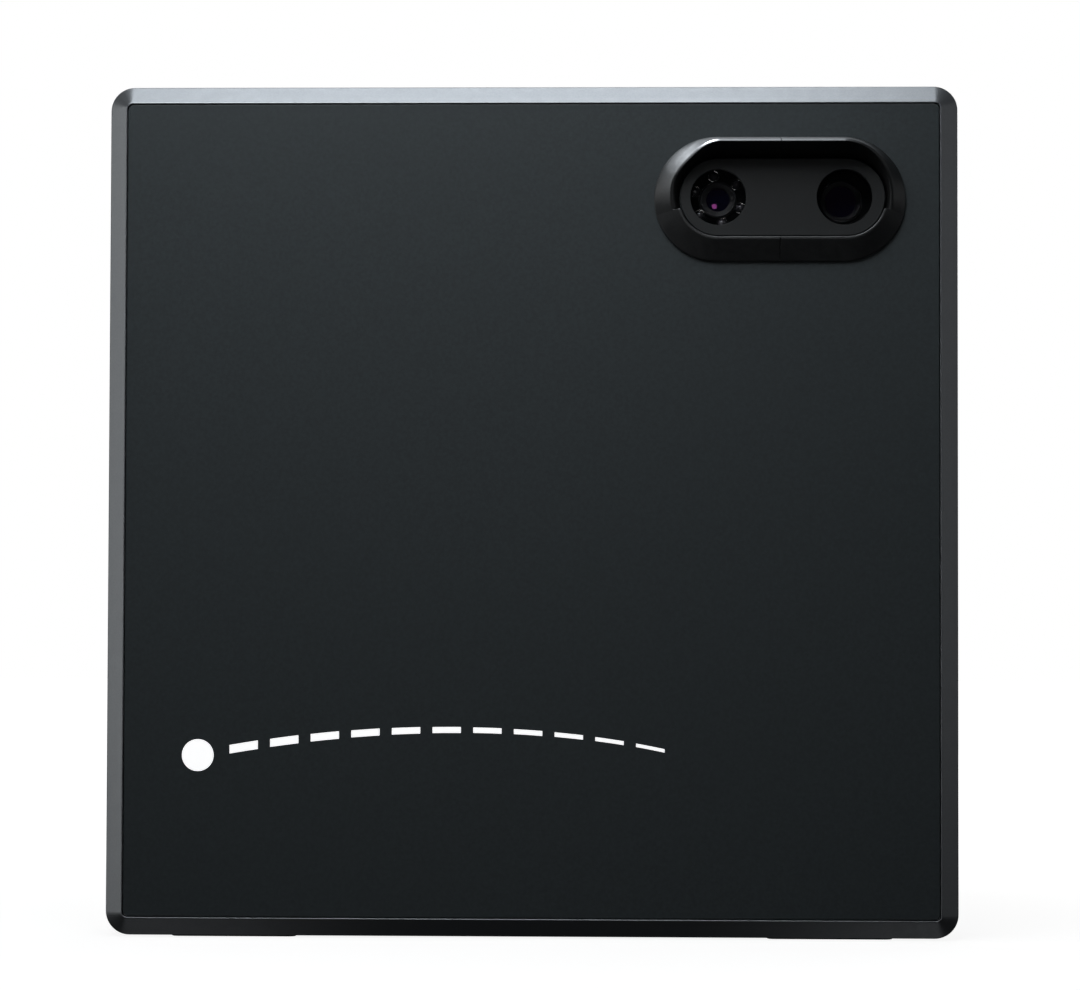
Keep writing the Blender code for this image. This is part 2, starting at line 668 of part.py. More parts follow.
def hood_section(side, angle, at_seam):
    """The four corners of the hood's wall at one place round it, from the outer foot over the rim."""
    plate_centre = (PLATE_X - HOOD_X, PLATE_Z - HOOD_Z)
    inner_ring = (PLATE_LENGTH + 2 * GAP, PLATE_HEIGHT + 2 * GAP, *plate_centre)
    outer_ring = (inner_ring[0] + 2 * LIP_WALL, inner_ring[1] + 2 * LIP_WALL, *plate_centre)
    foot = ring_point((HOOD_LENGTH, HOOD_HEIGHT, 0, 0), side, angle)
    root = ring_point(inner_ring, side, angle)
    outer = ring_point(outer_ring, side, angle)
    inner = root
    rim_y = LIP_FRONT
    if angle in VISOR_ANGLES:
        inner = visor_point(RIM_INNER, side, angle, foot, outer, FLANK_SHARE + RIM_SHARE)
        outer = visor_point(RIM_OUTER, side, angle, foot, outer, FLANK_SHARE)
        end_y = HOOD_BACK + (LIP_FRONT - HOOD_BACK) * FLANK_SHARE
        share = (1 - math.sin(math.radians(angle))) / (1 - math.sin(math.radians(VISOR_ANGLES[-1])))
        rim_y = VISOR_FRONT + (end_y - VISOR_FRONT) * share ** RIM_CURVE
    corners = ((foot, HOOD_BACK), (outer, rim_y), (inner, rim_y), (root, HOOD_BACK))
    seam_x = side * GAP / 2
    return [(seam_x if at_seam else x, y, z) for (x, z), y in corners]


def make_hood_half(side, word):
    """Half of the hood that shades the cameras: a low sloped ring below and a tall visor above,
    lofted through sections round the stadium, with the ends closed at the seam."""
    sections = [hood_section(side, VISOR_ANGLES[0], True)]
    for angle in VISOR_ANGLES + LIP_ANGLES:
        sections.append(hood_section(side, angle, False))
    sections.append(hood_section(side, LIP_ANGLES[-1], True))
    mesh = bpy.data.meshes.new("hood")
    shape = bmesh.new()
    rows = [[shape.verts.new(Vector(point) * MM) for point in section] for section in sections]
    for row, following in zip(rows, rows[1:]):
        for corner in range(4):
            after = (corner + 1) % 4
            shape.faces.new((row[corner], row[after], following[after], following[corner]))
    shape.faces.new(rows[0])
    shape.faces.new(reversed(rows[-1]))
    bmesh.ops.recalc_face_normals(shape, faces=shape.faces)
    shape.to_mesh(mesh)
    shape.free()
    return new_object(f"camera_hood_{word}", mesh, (HOOD_X, 0, HOOD_Z), "hood_plastic")


def window_x(side):
    return WINDOW_MIDDLE_X + side * WINDOW_SPACING / 2


def lens_x(side):
    return window_x(side) + (VIDEO_LENS_SHIFT if side > 0 else 0)


def make_camera_front():
    window_plate = slab(
        "camera_window_plate", stadium(PLATE_LENGTH, PLATE_HEIGHT), PLATE_X, PLATE_Z,
        PLATE_FRONT, HOOD_BACK, "window_plate",
    )
    outline = rounded_rectangle(72, 30, 8)
    baffle = slab("light_baffle", outline, PLATE_X, PLATE_Z, RADOME_BACK + GAP, 13.7, "baffle_black")
    for side in (-1, 1):
        x = window_x(side)
        cut(window_plate, cylinder(f"window_{side}", WINDOW_RADIUS, (x, -5, PLATE_Z), (x, 5, PLATE_Z)))
        cut(baffle, cylinder(f"well_{side}", WELL_RADIUS, (x, 0, PLATE_Z), (x, 16, PLATE_Z)))
    glass = stadium(APERTURE_LENGTH - 2 * GAP, APERTURE_HEIGHT - 2 * GAP)
    slab("camera_glass", glass, PLATE_X, PLATE_Z, RADOME_FRONT, 1.8, "clear_glass")


def make_lens(name, side, radius, front, glass_radius):
    """A threaded lens barrel with a front rim, and the glass element that it holds."""
    length = LENS_BACK - front
    bore = glass_radius + GAP
    profile = (
        (radius - 0.6, length), (radius, length - 0.6), (radius, 0.5), (radius - 0.5, 0), (bore + 0.8, 0),
        (bore, 0.8), (bore, 4.6), (bore - 1.2, 4.6), (bore - 1.2, length),
    )
    turned(f"{name}_barrel", profile, (lens_x(side), front, PLATE_Z), "Y", "baffle_black", ring=True)
    glass = [(0, 3.4), (glass_radius, 3.4), (glass_radius, 2.2)]
    for step in (3, 2, 1, 0):
        share = step / 4
        glass.append((glass_radius * share, 1.2 + share * share))
    turned(f"{name}_glass", glass, (lens_x(side), front + 0.8, PLATE_Z), "Y", "lens_glass")


def make_led_ring():
    x = window_x(-1)
    profile = ((10.2, 1.2), (10.2, 0), (LEFT_LENS_RADIUS + GAP, 0), (LEFT_LENS_RADIUS + GAP, 1.2))
    turned("led_ring_board", profile, (x, 8.0, PLATE_Z), "Y", "board_green", ring=True)
    dome = [(0, 3.3), (LED_RADIUS, 3.3), (LED_RADIUS, 1.5)]
    for step in (2, 1, 0):
        angle = math.radians(90 * step / 3)
        dome.append((LED_RADIUS * math.sin(angle), LED_RADIUS - LED_RADIUS * math.cos(angle)))
    for index in range(LED_COUNT):
        angle = math.radians(40 + 360 * index / LED_COUNT)
        place = (x + LED_CIRCLE * math.cos(angle), 4.4, PLATE_Z + LED_CIRCLE * math.sin(angle))
        turned(f"infrared_led_{index + 1}", dome, place, "Y", "led_epoxy", sides=SMALL_SIDES)


def make_camera_rear():
    bracket = slab("camera_bracket", rounded_rectangle(84, 36, 4), PLATE_X, PLATE_Z, 14, 16, "shield_metal")
    for side, radius in ((-1, LEFT_LENS_RADIUS), (1, RIGHT_LENS_RADIUS)):
        x = lens_x(side)
        cut(bracket, cylinder(f"barrel_hole_{side}", radius + GAP, (x, 12, PLATE_Z), (x, 18, PLATE_Z)))
    board = rounded_rectangle(80, 32, 2)
    slab("camera_sensor_board", board, PLATE_X, PLATE_Z, LENS_BACK + GAP, 19.5, "board_green")


def make_camera_ribbon():
    """The flat cable from the sensor board, through the bulkhead, down to the main board."""
    bend = ((0, 0), (4.6, 0), (6.3, -0.8), (7.3, -2.5), (7.6, -5), (7.6, -100))
    middle = [(19.9 + y, RIBBON_TOP + z) for y, z in bend]
    half = 0.25
    near = []
    far = []
    for index, (y, z) in enumerate(middle):
        before = middle[max(index - 1, 0)]
        after = middle[min(index + 1, len(middle) - 1)]
        along = Vector((after[0] - before[0], after[1] - before[1])).normalized()
        near.append((y - along.y * half, z + along.x * half))
        far.append((y + along.y * half, z - along.x * half))
    plate("camera_ribbon", near + far[::-1], (HOOD_X, 0, 0), 18, "X", "ribbon_amber")


# ---------------------------------------------------------------- electronics

def make_radar():
    shield = slab("radar_shield", rounded_rectangle(268, 268, 6), 0, MIDDLE_Z, 9.5, 16, "shield_metal")
    cut(
        shield,
        slab("shield_space", rounded_rectangle(264, 264, 4), 0, MIDDLE_Z, 7, 14.5),
        box("shield_camera_notch", (42, 5, 238), (140, 20, 290)),
    )
    for index, (x, z) in enumerate(grid(2, 2, 190, 190)):
        low = (x, 15.2, MIDDLE_Z + z - 12)
        join(shield, cylinder(f"standoff_{index}", 4, low, (x, 19.7, MIDDLE_Z + z - 12), sides=SMALL_SIDES))
    make_antenna("ball_radar_board", (-45, 134), (160, 200), (4, 5), 36)
    make_antenna("club_radar_board", (85, 130), (70, 170), (2, 5), 30)


def make_antenna(name, centre, size, array, pitch):
    """An antenna board: copper patches on its face and a screening can on its back."""
    board = slab(name, rounded_rectangle(*size, 3, 2), *centre, 11, 12.6, "board_green")
    patches = [(centre[0] + x, centre[1] + z) for x, z in grid(*array, pitch, pitch)]
    join(
        board,
        stud_block(f"{name}_patches", patches, (24, 24), 10.6, 11.2),
        stud_block(f"{name}_can", [centre], (size[0] * 0.5, size[1] * 0.4), 12.4, 14.1),
    )


def make_main_board():
    board = slab("main_board", rounded_rectangle(144, 130, 3, 2), 60, 95, 24.6, 26.2, "board_green")
    join(
        board,
        stud_block("processors", [(SINK_X, 90), (20, 95)], (30, 30), 26, 28.4),
        stud_block("memory", [(52, 70), (52, 88), (52, 106)], (12, 14), 26, 27.6),
        stud_block("ribbon_socket", [(HOOD_X, 153)], (22, 7), 26, 28.2),
        stud_block("power_parts", [(115, 140), (30, 140), (118, 44)], (14, 10), 26, 30),
    )
    box("heat_spreader", (SINK_X - 20, 28.7, 70), (SINK_X + 20, 34.2, 110), "shield_metal")


def make_heat_sink():
    base = rounded_rectangle(SINK_WIDTH + 6, SINK_HEIGHT + 8, 4)
    sink = slab("heat_sink", base, SINK_X, SINK_Z, 34.5, 37, "heat_sink_metal")
    pitch = (SINK_WIDTH - 3 - FIN_THICKNESS) / (FIN_COUNT - 1)
    fins = [(SINK_X + x, SINK_Z) for x, _ in grid(FIN_COUNT, 1, pitch, 0)]
    join(sink, stud_block("fins", fins, (FIN_THICKNESS, SINK_HEIGHT - 4), 36.5, 44.4))


def make_inserts():
    """The brass tripod insert in the bottom, and the aerial stuck inside the back."""
    profile = (
        (INSERT_RADIUS - 0.4, 8.6), (INSERT_RADIUS, 8.2), (INSERT_RADIUS, 0), (3.4, 0), (3.0, 0.4),
        (3.0, 8.6),
    )
    turned("tripod_insert", profile, (0, INSERT_Y, FOOT_HEIGHT + 0.2), "Z", "brass", ring=True, sides=16)
    box("wireless_antenna", (-100, 40.4, 272), (-60, DEPTH - BACK_WALL - GAP, 280), "board_green")


def make_battery():
    """Two rows of four round cells in one shrink wrap, inside an open frame, with its lead."""
    cell_radius = 9.2
    pitch = 18.5
    outline = []
    for row in range(4):
        start = -50 if row else -90
        end = 50 if row < 3 else 90
        outline += arc((0, (row - 1.5) * pitch), cell_radius, start, end, 5)
    for row in (3, 2, 1, 0):
        start = 130 if row < 3 else 90
        end = 230 if row else 270
        outline += arc((0, (row - 1.5) * pitch), cell_radius, start, end, 5)
    kept = [point for i, point in enumerate(outline) if math.dist(point, outline[i - 1]) > 1e-6]
    plate("battery_pack", kept, (BATTERY_X, 32, BATTERY_Z), 132, "X", "battery_wrap")
    rim = rounded_rectangle(140, 80, 3, 3)
    space = rounded_rectangle(133, 75, 1, 1)
    middle = (BATTERY_X, BATTERY_Z)
    frame = slab("battery_frame", rim, *middle, BULKHEAD_BACK + GAP, FRAME_BACK, "connector_plastic")
    cut(frame, slab("battery_space", space, *middle, BULKHEAD_FRONT, FRAME_BACK + OVERRUN))
    make_lead("battery_lead", 1.6, LEAD_ROUTE)


def make_lead(name, radius, route):
    """A round lead along a smooth curve through the route's points."""
    curve = bpy.data.curves.new("lead", "CURVE")
    curve.dimensions = "3D"
    curve.bevel_depth = radius * MM
    curve.bevel_resolution = 2
    curve.use_fill_caps = True
    spline = curve.splines.new("POLY")
    points = smooth_route(route, 4)
    spline.points.add(len(points) - 1)
    for point, place in zip(spline.points, points):
        point.co = (*(place * MM), 1)
    curve.materials.append(MATERIALS["cable_red"])
    lead = bpy.data.objects.new(name, curve)
    MODEL.objects.link(lead)
    attach(lead, (0, 0, 0), BASE)


def smooth_route(route, steps):
    """Points along a Catmull-Rom curve through the route."""
    knots = [Vector(point) for point in route]
    padded = [2 * knots[0] - knots[1], *knots, 2 * knots[-1] - knots[-2]]
    points = []
    for a, b, c, d in zip(padded, padded[1:], padded[2:], padded[3:]):
        for step in range(steps):
            t = step / steps
            points.append(0.5 * (2 * b + (c - a) * t + (2 * a - 5 * b + 4 * c - d) * t**2
                                 + (3 * b - a - 3 * c + d) * t**3))
    points.append(knots[-1])
    return points


def make_controls():
    window = rounded_rectangle(DISPLAY_LENGTH, DISPLAY_WIDTH, 1.3)
    plate("display_window", window, (0, CONTROL_Y, TOP_Z - 1.0), 1.4, "Z", "clear_glass")
    screen_low = (-26, CONTROL_Y - 6, TOP_Z - 8.9)
    screen_high = (26, CONTROL_Y + 6, TOP_Z - WALL - 0.4)
    box("status_display", screen_low, screen_high, "display_black")
    board_low = (-36, CONTROL_Y - 6.8, TOP_Z - 10.4)
    board_high = (64, CONTROL_Y + 6.8, TOP_Z - 9.2)
    board = box("control_board", board_low, board_high, "board_green")
    switch_low = (BUTTON_X - 3.1, CONTROL_Y - 3.1, TOP_Z - 10)
    switch_high = (BUTTON_X + 3.1, CONTROL_Y + 3.1, TOP_Z - 7.1)
    join(board, box("switch_body", switch_low, switch_high))
    profile = (
        (0, 5.7), (BUTTON_RADIUS - 0.6, 5.7), (BUTTON_RADIUS, 5.1), (BUTTON_RADIUS, 1.4), (6, 1.4), (6, 0),
        (0, 0),
    )
    turned("power_button", profile, (BUTTON_X, CONTROL_Y, TOP_Z - 5.8), "Z", "hood_plastic")


# name: (x, width, height), each standing on the port board
JACKS = {
    "ethernet_jack": (-88.0, 16.0, 13.6),
    "usb_jack": (-104.0, 9.2, 3.6),
    "power_jack": (-118.0, 11.0, 11.0),
}


def make_ports():
    box("port_board", (-127, 23, 31.3), (-75, 33, 32.9), "board_green")
    make_ethernet_jack()
    make_usb_jack()
    make_power_jack()


def make_ethernet_jack():
    x, width, height = JACKS["ethernet_jack"]
    z = JACK_BASE_Z + height / 2
    past_mouth = JACK_MOUTH + OVERRUN
    outline = rounded_rectangle(width, height, 0.5, 1)
    jack = slab("ethernet_jack", outline, x, z, 24, JACK_MOUTH, "connector_metal")
    cut(
        jack,
        box("ethernet_socket", (x - 5.9, 26, z - 3.4), (x + 5.9, past_mouth, z + 4.2)),
        box("ethernet_key", (x - 3.2, 26, z - 5.2), (x + 3.2, past_mouth, z - 3)),
    )


def make_usb_jack():
    x, width, height = JACKS["usb_jack"]
    z = JACK_BASE_Z + height / 2
    outline = rounded_rectangle(width, height, 1.7, 3)
    inside = rounded_rectangle(width - 0.9, height - 0.9, 1.3, 3)
    jack = slab("usb_jack", outline, x, z, 28, JACK_MOUTH, "connector_metal")
    cut(jack, slab("usb_socket", inside, x, z, 30.5, JACK_MOUTH + OVERRUN))
    join(jack, box("usb_tongue", (x - 3.3, 29, z - 0.35), (x + 3.3, JACK_MOUTH - 1, z + 0.35)))


def make_power_jack():
    x, width, height = JACKS["power_jack"]
    z = JACK_BASE_Z + height / 2
    outline = rounded_rectangle(width, height, 1, 1)
    jack = slab("power_jack", outline, x, z, 26, JACK_MOUTH, "connector_plastic")
    socket_ends = (x, 28, z), (x, JACK_MOUTH + OVERRUN, z)
    contact_ends = (x, 27, z), (x, JACK_MOUTH - 1, z)
    cut(jack, cylinder("power_socket", 3.2, *socket_ends, sides=SMALL_SIDES))
    join(jack, cylinder("power_contact", 1.0, *contact_ends, sides=SMALL_SIDES))


def make_port_door():
    middle = ((DOOR_LEFT + DOOR_RIGHT) / 2, (DOOR_LOW + DOOR_HIGH) / 2)
    outline = rounded_rectangle(DOOR_RIGHT - DOOR_LEFT, DOOR_HIGH - DOOR_LOW, 2, 3)
    door = slab("port_door", outline, *middle, DOOR_FRONT, DOOR_BACK, "cover_metal", DOOR_AXIS)
    knuckle_ends = [(DOOR_AXIS_X, DOOR_AXIS_Y, z) for z in (KNUCKLE_LOW, KNUCKLE_HIGH)]
    arm_low = (DOOR_AXIS_X, DOOR_FRONT + 0.1, KNUCKLE_LOW + 0.1)
    arm_high = (DOOR_LEFT + 3, DOOR_BACK - 0.1, KNUCKLE_HIGH - 0.1)
    knuckle = cylinder("door_knuckle", KNUCKLE_RADIUS, *knuckle_ends, "Z")
    join(door, box("door_arm", arm_low, arm_high), knuckle)
    bore_ends = [(DOOR_AXIS_X, DOOR_AXIS_Y, z) for z in (KNUCKLE_LOW - 2, KNUCKLE_HIGH + 2)]
    cut(door, cylinder("knuckle_bore", DOOR_PIN_RADIUS + GAP, *bore_ends, "Z", sides=SMALL_SIDES))
    pin_ends = [(DOOR_AXIS_X, DOOR_AXIS_Y, z) for z in (DOOR_LOW - 2.3, DOOR_HIGH + 2.3)]
    cylinder("port_door_pin", DOOR_PIN_RADIUS, *pin_ends, "Z", "steel", sides=SMALL_SIDES)


# ---------------------------------------------------------------- rear leg

def make_leg_bracket():
    """Two ears on a base plate, fixed to the floor of the leg's tub, and the hinge pin."""
    ear_in = LEG_HALF_WIDTH + GAP
    ear_out = ear_in + EAR_THICKNESS
    floor = TUB_FLOOR + GAP
    base_low = (-ear_out, floor, LEG_AXIS_Z - 5)
    base_high = (ear_out, floor + 1.3, LEG_AXIS_Z + 14)
    bracket = box("leg_bracket", base_low, base_high, "steel")
    outline = [(floor - LEG_AXIS_Y, 5), (floor - LEG_AXIS_Y, -5), *arc((0, 0), 5, -90, 90, 6)]
    for side in (-1, 1):
        x = side * (ear_in + ear_out) / 2
        join(bracket, plate(f"ear_{side}", outline, (x, LEG_AXIS_Y, LEG_AXIS_Z), EAR_THICKNESS, "X"))
    bore_ends = [(x, LEG_AXIS_Y, LEG_AXIS_Z) for x in (-ear_out - 1, ear_out + 1)]
    cut(bracket, cylinder("ear_bore", PIN_RADIUS + GAP, *bore_ends, "X"))
    half = ear_out + GAP
    profile = (
        (0, half + 1.2), (3.4, half + 1.2), (3.8, half + 0.8), (3.8, half), (PIN_RADIUS, half),
        (PIN_RADIUS, -half - 1.2), (PIN_RADIUS - 0.5, -half - 1.7), (0, -half - 1.7),
    )
    turned("leg_pin", profile, (0, LEG_AXIS_Y, LEG_AXIS_Z), "X", "steel")


def make_rear_leg():
    """A flat leg that tapers from its hinge to a fork, which holds the levelling wheel."""
    taper_start = 20.0
    outline = [
        (LEG_HALF_WIDTH, 0),
        (LEG_HALF_WIDTH, taper_start),
        *arc((0, LEG_REACH), LEG_TIP_RADIUS, 8, 172, 10),
        (-LEG_HALF_WIDTH, taper_start),
        (-LEG_HALF_WIDTH, 0),
    ]
    leg = plate("rear_leg", outline, (0, LEG_AXIS_Y, LEG_AXIS_Z), LEG_THICKNESS, "Z", "leg_metal", LEG_AXIS)
    hinge_ends = [(x, LEG_AXIS_Y, LEG_AXIS_Z) for x in (-LEG_HALF_WIDTH, LEG_HALF_WIDTH)]
    join(leg, cylinder("leg_knuckle", LEG_THICKNESS / 2, *hinge_ends, "X"))
    bore_ends = [(x, LEG_AXIS_Y, LEG_AXIS_Z) for x in (-LEG_HALF_WIDTH - 2, LEG_HALF_WIDTH + 2)]
    tip_y = LEG_AXIS_Y + LEG_REACH
    top = LEG_AXIS_Z + LEG_THICKNESS / 2
    pocket = [(17, 20), *arc((0, 70), 7, 15, 165, 6), (-17, 20)]
    slot_low = (-20, tip_y - WHEEL_RADIUS - 0.6, LEG_AXIS_Z - WHEEL_SLOT / 2)
    slot_high = (20, tip_y + 20, LEG_AXIS_Z + WHEEL_SLOT / 2)
    cut(
        leg,
        cylinder("leg_bore", PIN_RADIUS + GAP, *bore_ends, "X"),
        box("wheel_slot", slot_low, slot_high),
        cylinder("screw_bore", SCREW_RADIUS + GAP, (0, tip_y, 0), (0, tip_y, 24), "Z"),
        plate("leg_top_pocket", pocket, (0, LEG_AXIS_Y, top), 3.2, "Z"),
        plate("leg_under_pocket", pocket, (0, LEG_AXIS_Y, top - LEG_THICKNESS), 3.2, "Z"),
    )


def wheel_outline():
    """A thumb wheel's rim, notched all round for grip."""
    points = []
    notches = 24
    for index in range(2 * notches):
        radius = WHEEL_RADIUS if index % 2 else WHEEL_RADIUS - 0.7
        angle = math.pi * index / notches
        points.append((radius * math.cos(angle), radius * math.sin(angle)))
    return points


def make_leveling():
    tip = (0, LEG_AXIS_Y + LEG_REACH, LEG_AXIS_Z)
    ground = (0, tip[1], 0)
    finish = "connector_plastic"
    wheel = plate("leveling_wheel", wheel_outline(), tip, WHEEL_THICKNESS, "Z", finish, LEVEL_AXIS)
    bore_ends = ground, (0, tip[1], 24)
    cut(wheel, cylinder("wheel_bore", SCREW_RADIUS + GAP, *bore_ends, "Z", parent=LEVEL_AXIS))
    stem = (
        (0, STEM_TOP), (SCREW_RADIUS - 0.5, STEM_TOP), (SCREW_RADIUS, STEM_TOP - 0.5), (SCREW_RADIUS, 4.2),
        (6, 4.2), (6, 2.3), (0, 2.3),
    )
    turned("leveling_screw", stem, ground, "Z", "steel", LEVEL_AXIS)
    pad = (
        (0, 2), (6.3, 2), (6.3, 4.5), (PAD_RADIUS - 1, 4.5), (PAD_RADIUS, 3.5), (PAD_RADIUS, 0.6),
        (PAD_RADIUS - 0.6, 0), (0, 0),
    )
    turned("leveling_foot_pad", pad, ground, "Z", "rubber", LEVEL_AXIS)


def main():
    bezel = make_bezel()
    make_radome()
    make_housing_frame()
    make_inserts()
    make_rear_cover()
    make_cover_screws()
    make_feet(bezel)
    make_hood_half(-1, "left")
    make_hood_half(1, "right")
    make_camera_front()
    make_lens("tracking_lens", -1, LEFT_LENS_RADIUS, 4.6, 4.0)
    make_lens("video_lens", 1, RIGHT_LENS_RADIUS, 11.0, 5.4)
    make_led_ring()
    make_camera_rear()
    make_camera_ribbon()
    make_radar()
    make_main_board()
    make_heat_sink()
    make_battery()
    make_controls()
    make_ports()
    make_port_door()
    make_leg_bracket()
    make_rear_leg()
    make_leveling()


main()
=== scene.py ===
"""The launch monitor's looks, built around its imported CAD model, and the studio that it stands in.

Shapes are drawn in millimetres in the unit's own frame: X to the right seen from the front, Y from
the front face to the back, Z up from the ground. Meshes are moved into the row frame when they are
made, so that every object sits at the origin and its materials can use object coordinates.
"""

import math

import bmesh
import bpy
from mathutils import Matrix, Vector


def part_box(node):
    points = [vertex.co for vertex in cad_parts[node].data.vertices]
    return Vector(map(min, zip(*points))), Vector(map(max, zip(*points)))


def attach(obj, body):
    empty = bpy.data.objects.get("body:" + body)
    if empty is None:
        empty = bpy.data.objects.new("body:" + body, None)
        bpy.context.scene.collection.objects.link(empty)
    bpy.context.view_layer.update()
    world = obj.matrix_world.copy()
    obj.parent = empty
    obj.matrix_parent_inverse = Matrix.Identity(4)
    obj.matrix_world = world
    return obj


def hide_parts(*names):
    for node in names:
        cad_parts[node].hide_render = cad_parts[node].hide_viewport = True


MM = 0.001

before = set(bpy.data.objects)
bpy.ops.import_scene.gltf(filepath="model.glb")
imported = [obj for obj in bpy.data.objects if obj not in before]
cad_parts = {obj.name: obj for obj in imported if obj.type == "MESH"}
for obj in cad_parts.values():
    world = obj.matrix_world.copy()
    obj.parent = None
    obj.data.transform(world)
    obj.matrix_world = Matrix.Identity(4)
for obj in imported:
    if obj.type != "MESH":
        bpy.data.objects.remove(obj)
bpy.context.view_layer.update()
FRONT_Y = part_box("front_bezel")[0].y

# Housing
SIDE = 300.0
BOTTOM = 0.5  # how far the feet stand proud
TOP = BOTTOM + SIDE
MIDDLE_Z = BOTTOM + SIDE / 2
HOUSING_MIDDLE = (0, MIDDLE_Z)
CORNER = 8.4
CHAMFER = 6.2
GAP = 0.3  # clearance between pieces
WALL = 4
BEZEL_BACK = 17.0
FRAME_FRONT = 17.3
FRAME_BACK = 33.0
COVER_FRONT = 33.3
DEPTH = 45.0
BACK_WALL = 3
BLOCK_BACK = 44  # the blocks inside the rear cover end within its back wall

# Front cover and the ledge behind it
RADOME_SIDE = SIDE - 2 * CHAMFER - 1.4
RADOME_CORNER = 2.2
RADOME_FRONT = 0.2
RADOME_BACK = 2.8
LEDGE_FRONT = 4
LEDGE_BACK = 6.5
LEDGE_OPENING = 276

# Camera group
HOOD_X = 87.1
HOOD_Z = MIDDLE_Z + 109.3
HOOD_BACK = -0.1
PLATE_X = HOOD_X + 0.9
PLATE_Z = HOOD_Z + 0.5
PLATE_MIDDLE = (PLATE_X, PLATE_Z)
PLATE_LENGTH = 71.8
PLATE_HEIGHT = 27.2
PLATE_FRONT = -2.5
WINDOW_XS = (HOOD_X + 0.5 - 22.15, HOOD_X + 0.5 + 22.15)
WINDOW_RADIUS = 9.75
WELL_RADIUS = 10.5
APERTURE = (66, 21.6)
GLASS = (65.4, 21)
VIDEO_LENS_X = WINDOW_XS[1] - 0.7
LENS_BACK = 18.0
LED_CIRCLE = 8.45
LED_RADIUS = 1.5
LED_BASE = 5.9  # where the lamps' domes begin
LED_FIRST = 40  # degrees round the lens

# Controls in the top
CONTROL_Y = (BEZEL_BACK + FRAME_BACK) / 2
CONTROL_MIDDLE = (0, CONTROL_Y)
BUTTON_X = 50.0
BUTTON_RADIUS = 4.7

# Feet and tripod insert
FOOT_XS = {"left": -105.0, "right": 105.0}
FOOT_Y = 12.0
INSERT_Y = 23.5

# Leg, and the tub in the back that it folds into
LEG_Y = 40.0
LEG_Z = 10.5
LEG_REACH = 96.0
LEG_HALF_WIDTH = 26.9
LEG_TAPER = 20  # from the hinge to where the leg starts to taper
HINGE_BORE = 2.8
EAR_X = 29.2
TUB_WIDTH = 72
TUB_HEIGHT = 119.1
TUB_MIDDLE = (0, 64.45)
TUB_FLOOR = 33
WHEEL_HALF = 2
SCREW_BORE = 3.3

# Heat sink
SINK_X = 90.0
SINK_Z = 88.0
SINK_MIDDLE = (SINK_X, SINK_Z)
SINK_WINDOW = (80, 128)
FIN_COUNT = 13
FIN_PITCH = 6.25

# Port bay and its door
BAY_MIDDLE = (-100, 40)
BAY_FLOOR = 36
DOOR_AXIS = (-133.2, 42.8)
DOOR_X = (-130.6, -69.7)
DOOR_Z = (22.9, 57.1)
DOOR_MIDDLE = (sum(DOOR_X) / 2, sum(DOOR_Z) / 2)
DOOR_FRONT = 42.6
DOOR_BACK = 44.9
JACK_BASE_Z = 33.2
JACK_MOUTH = 37.5

# name: (x, width, height), each standing on the port board
JACKS = {
    "ethernet_jack": (-88.0, 16.0, 13.6),
    "usb_jack": (-104.0, 9.2, 3.6),
    "power_jack": (-118.0, 11.0, 11.0),
}

CORNER_STEPS = 10
HOUSING_STEPS = 14  # round the housing's large corners
ROUND_SIDES = 64
FINE_SIDES = 96  # round the windows and lenses
AXIS_RADIUS = 0.05  # the innermost ring of a turned solid
OVERRUN = 2  # how far a cutter passes the face it opens
CAP_INSET = 60  # how far in a large face's last ring lies


# ---------------------------------------------------------------- outlines

def arc(centre, radius, start, end, steps):
    """Points along an arc, with angles in degrees."""
    points = []
    for step in range(steps + 1):
        angle = math.radians(start + (end - start) * step / steps)
        points.append((centre[0] + radius * math.cos(angle), centre[1] + radius * math.sin(angle)))
    return points


def circle(radius, sides=ROUND_SIDES):
    return arc((0, 0), radius, 0, 360, sides)[:-1]


def rounded_rectangle(width, height, radius, steps=CORNER_STEPS):
    """A rectangle about the origin with round corners, always with the same number of points."""
    radius = max(radius, 0.02)
    across = width / 2 - radius
    up = height / 2 - radius
    points = []
    for corner, (x, z) in enumerate(((across, up), (-across, up), (-across, -up), (across, -up))):
        points += arc((x, z), radius, 90 * corner, 90 * corner + 90, steps)
    return points


def stadium(length, height, steps=CORNER_STEPS):
    return rounded_rectangle(length, height, height / 2, steps)


def fillet(profile, radius, steps=4):
    """A polyline with each inner corner rounded, keeping its two ends."""
    rounded = [profile[0]]
    for before, corner, after in zip(profile, profile[1:], profile[2:]):
        corner = Vector(corner)
        to_before = Vector(before) - corner
        to_after = Vector(after) - corner
        reach = min(radius, to_before.length * 0.45, to_after.length * 0.45)
        start = corner + to_before.normalized() * reach
        end = corner + to_after.normalized() * reach
        for step in range(steps + 1):
            t = step / steps
            rounded.append(tuple(start * (1 - t) ** 2 + 2 * corner * t * (1 - t) + end * t * t))
    rounded.append(profile[-1])
    return rounded


# ---------------------------------------------------------------- meshes

def new_mesh(shape):
    """The bmesh, drawn in millimetres in the unit's frame, as a mesh in the row frame."""
    bmesh.ops.recalc_face_normals(shape, faces=shape.faces)
    mesh = bpy.data.meshes.new("shape")
    shape.to_mesh(mesh)
    shape.free()
    mesh.transform(Matrix.Translation((0, FRONT_Y, 0)) @ Matrix.Scale(MM, 4))
    return mesh


def shell(rows, closed=False):
    """A mesh through rows of points. Each row is a loop. The rows close on one another, or end in
    caps."""
    shape = bmesh.new()
    made = [[shape.verts.new(point) for point in row] for row in rows]
    pairs = list(zip(made, made[1:]))
    if closed:
        pairs.append((made[-1], made[0]))
    for row, following in pairs:
        for i in range(len(row)):
            j = (i + 1) % len(row)
            shape.faces.new((row[i], row[j], following[j], following[i]))
    if not closed:
        shape.faces.new(made[0])
        shape.faces.new(made[-1])
    return new_mesh(shape)


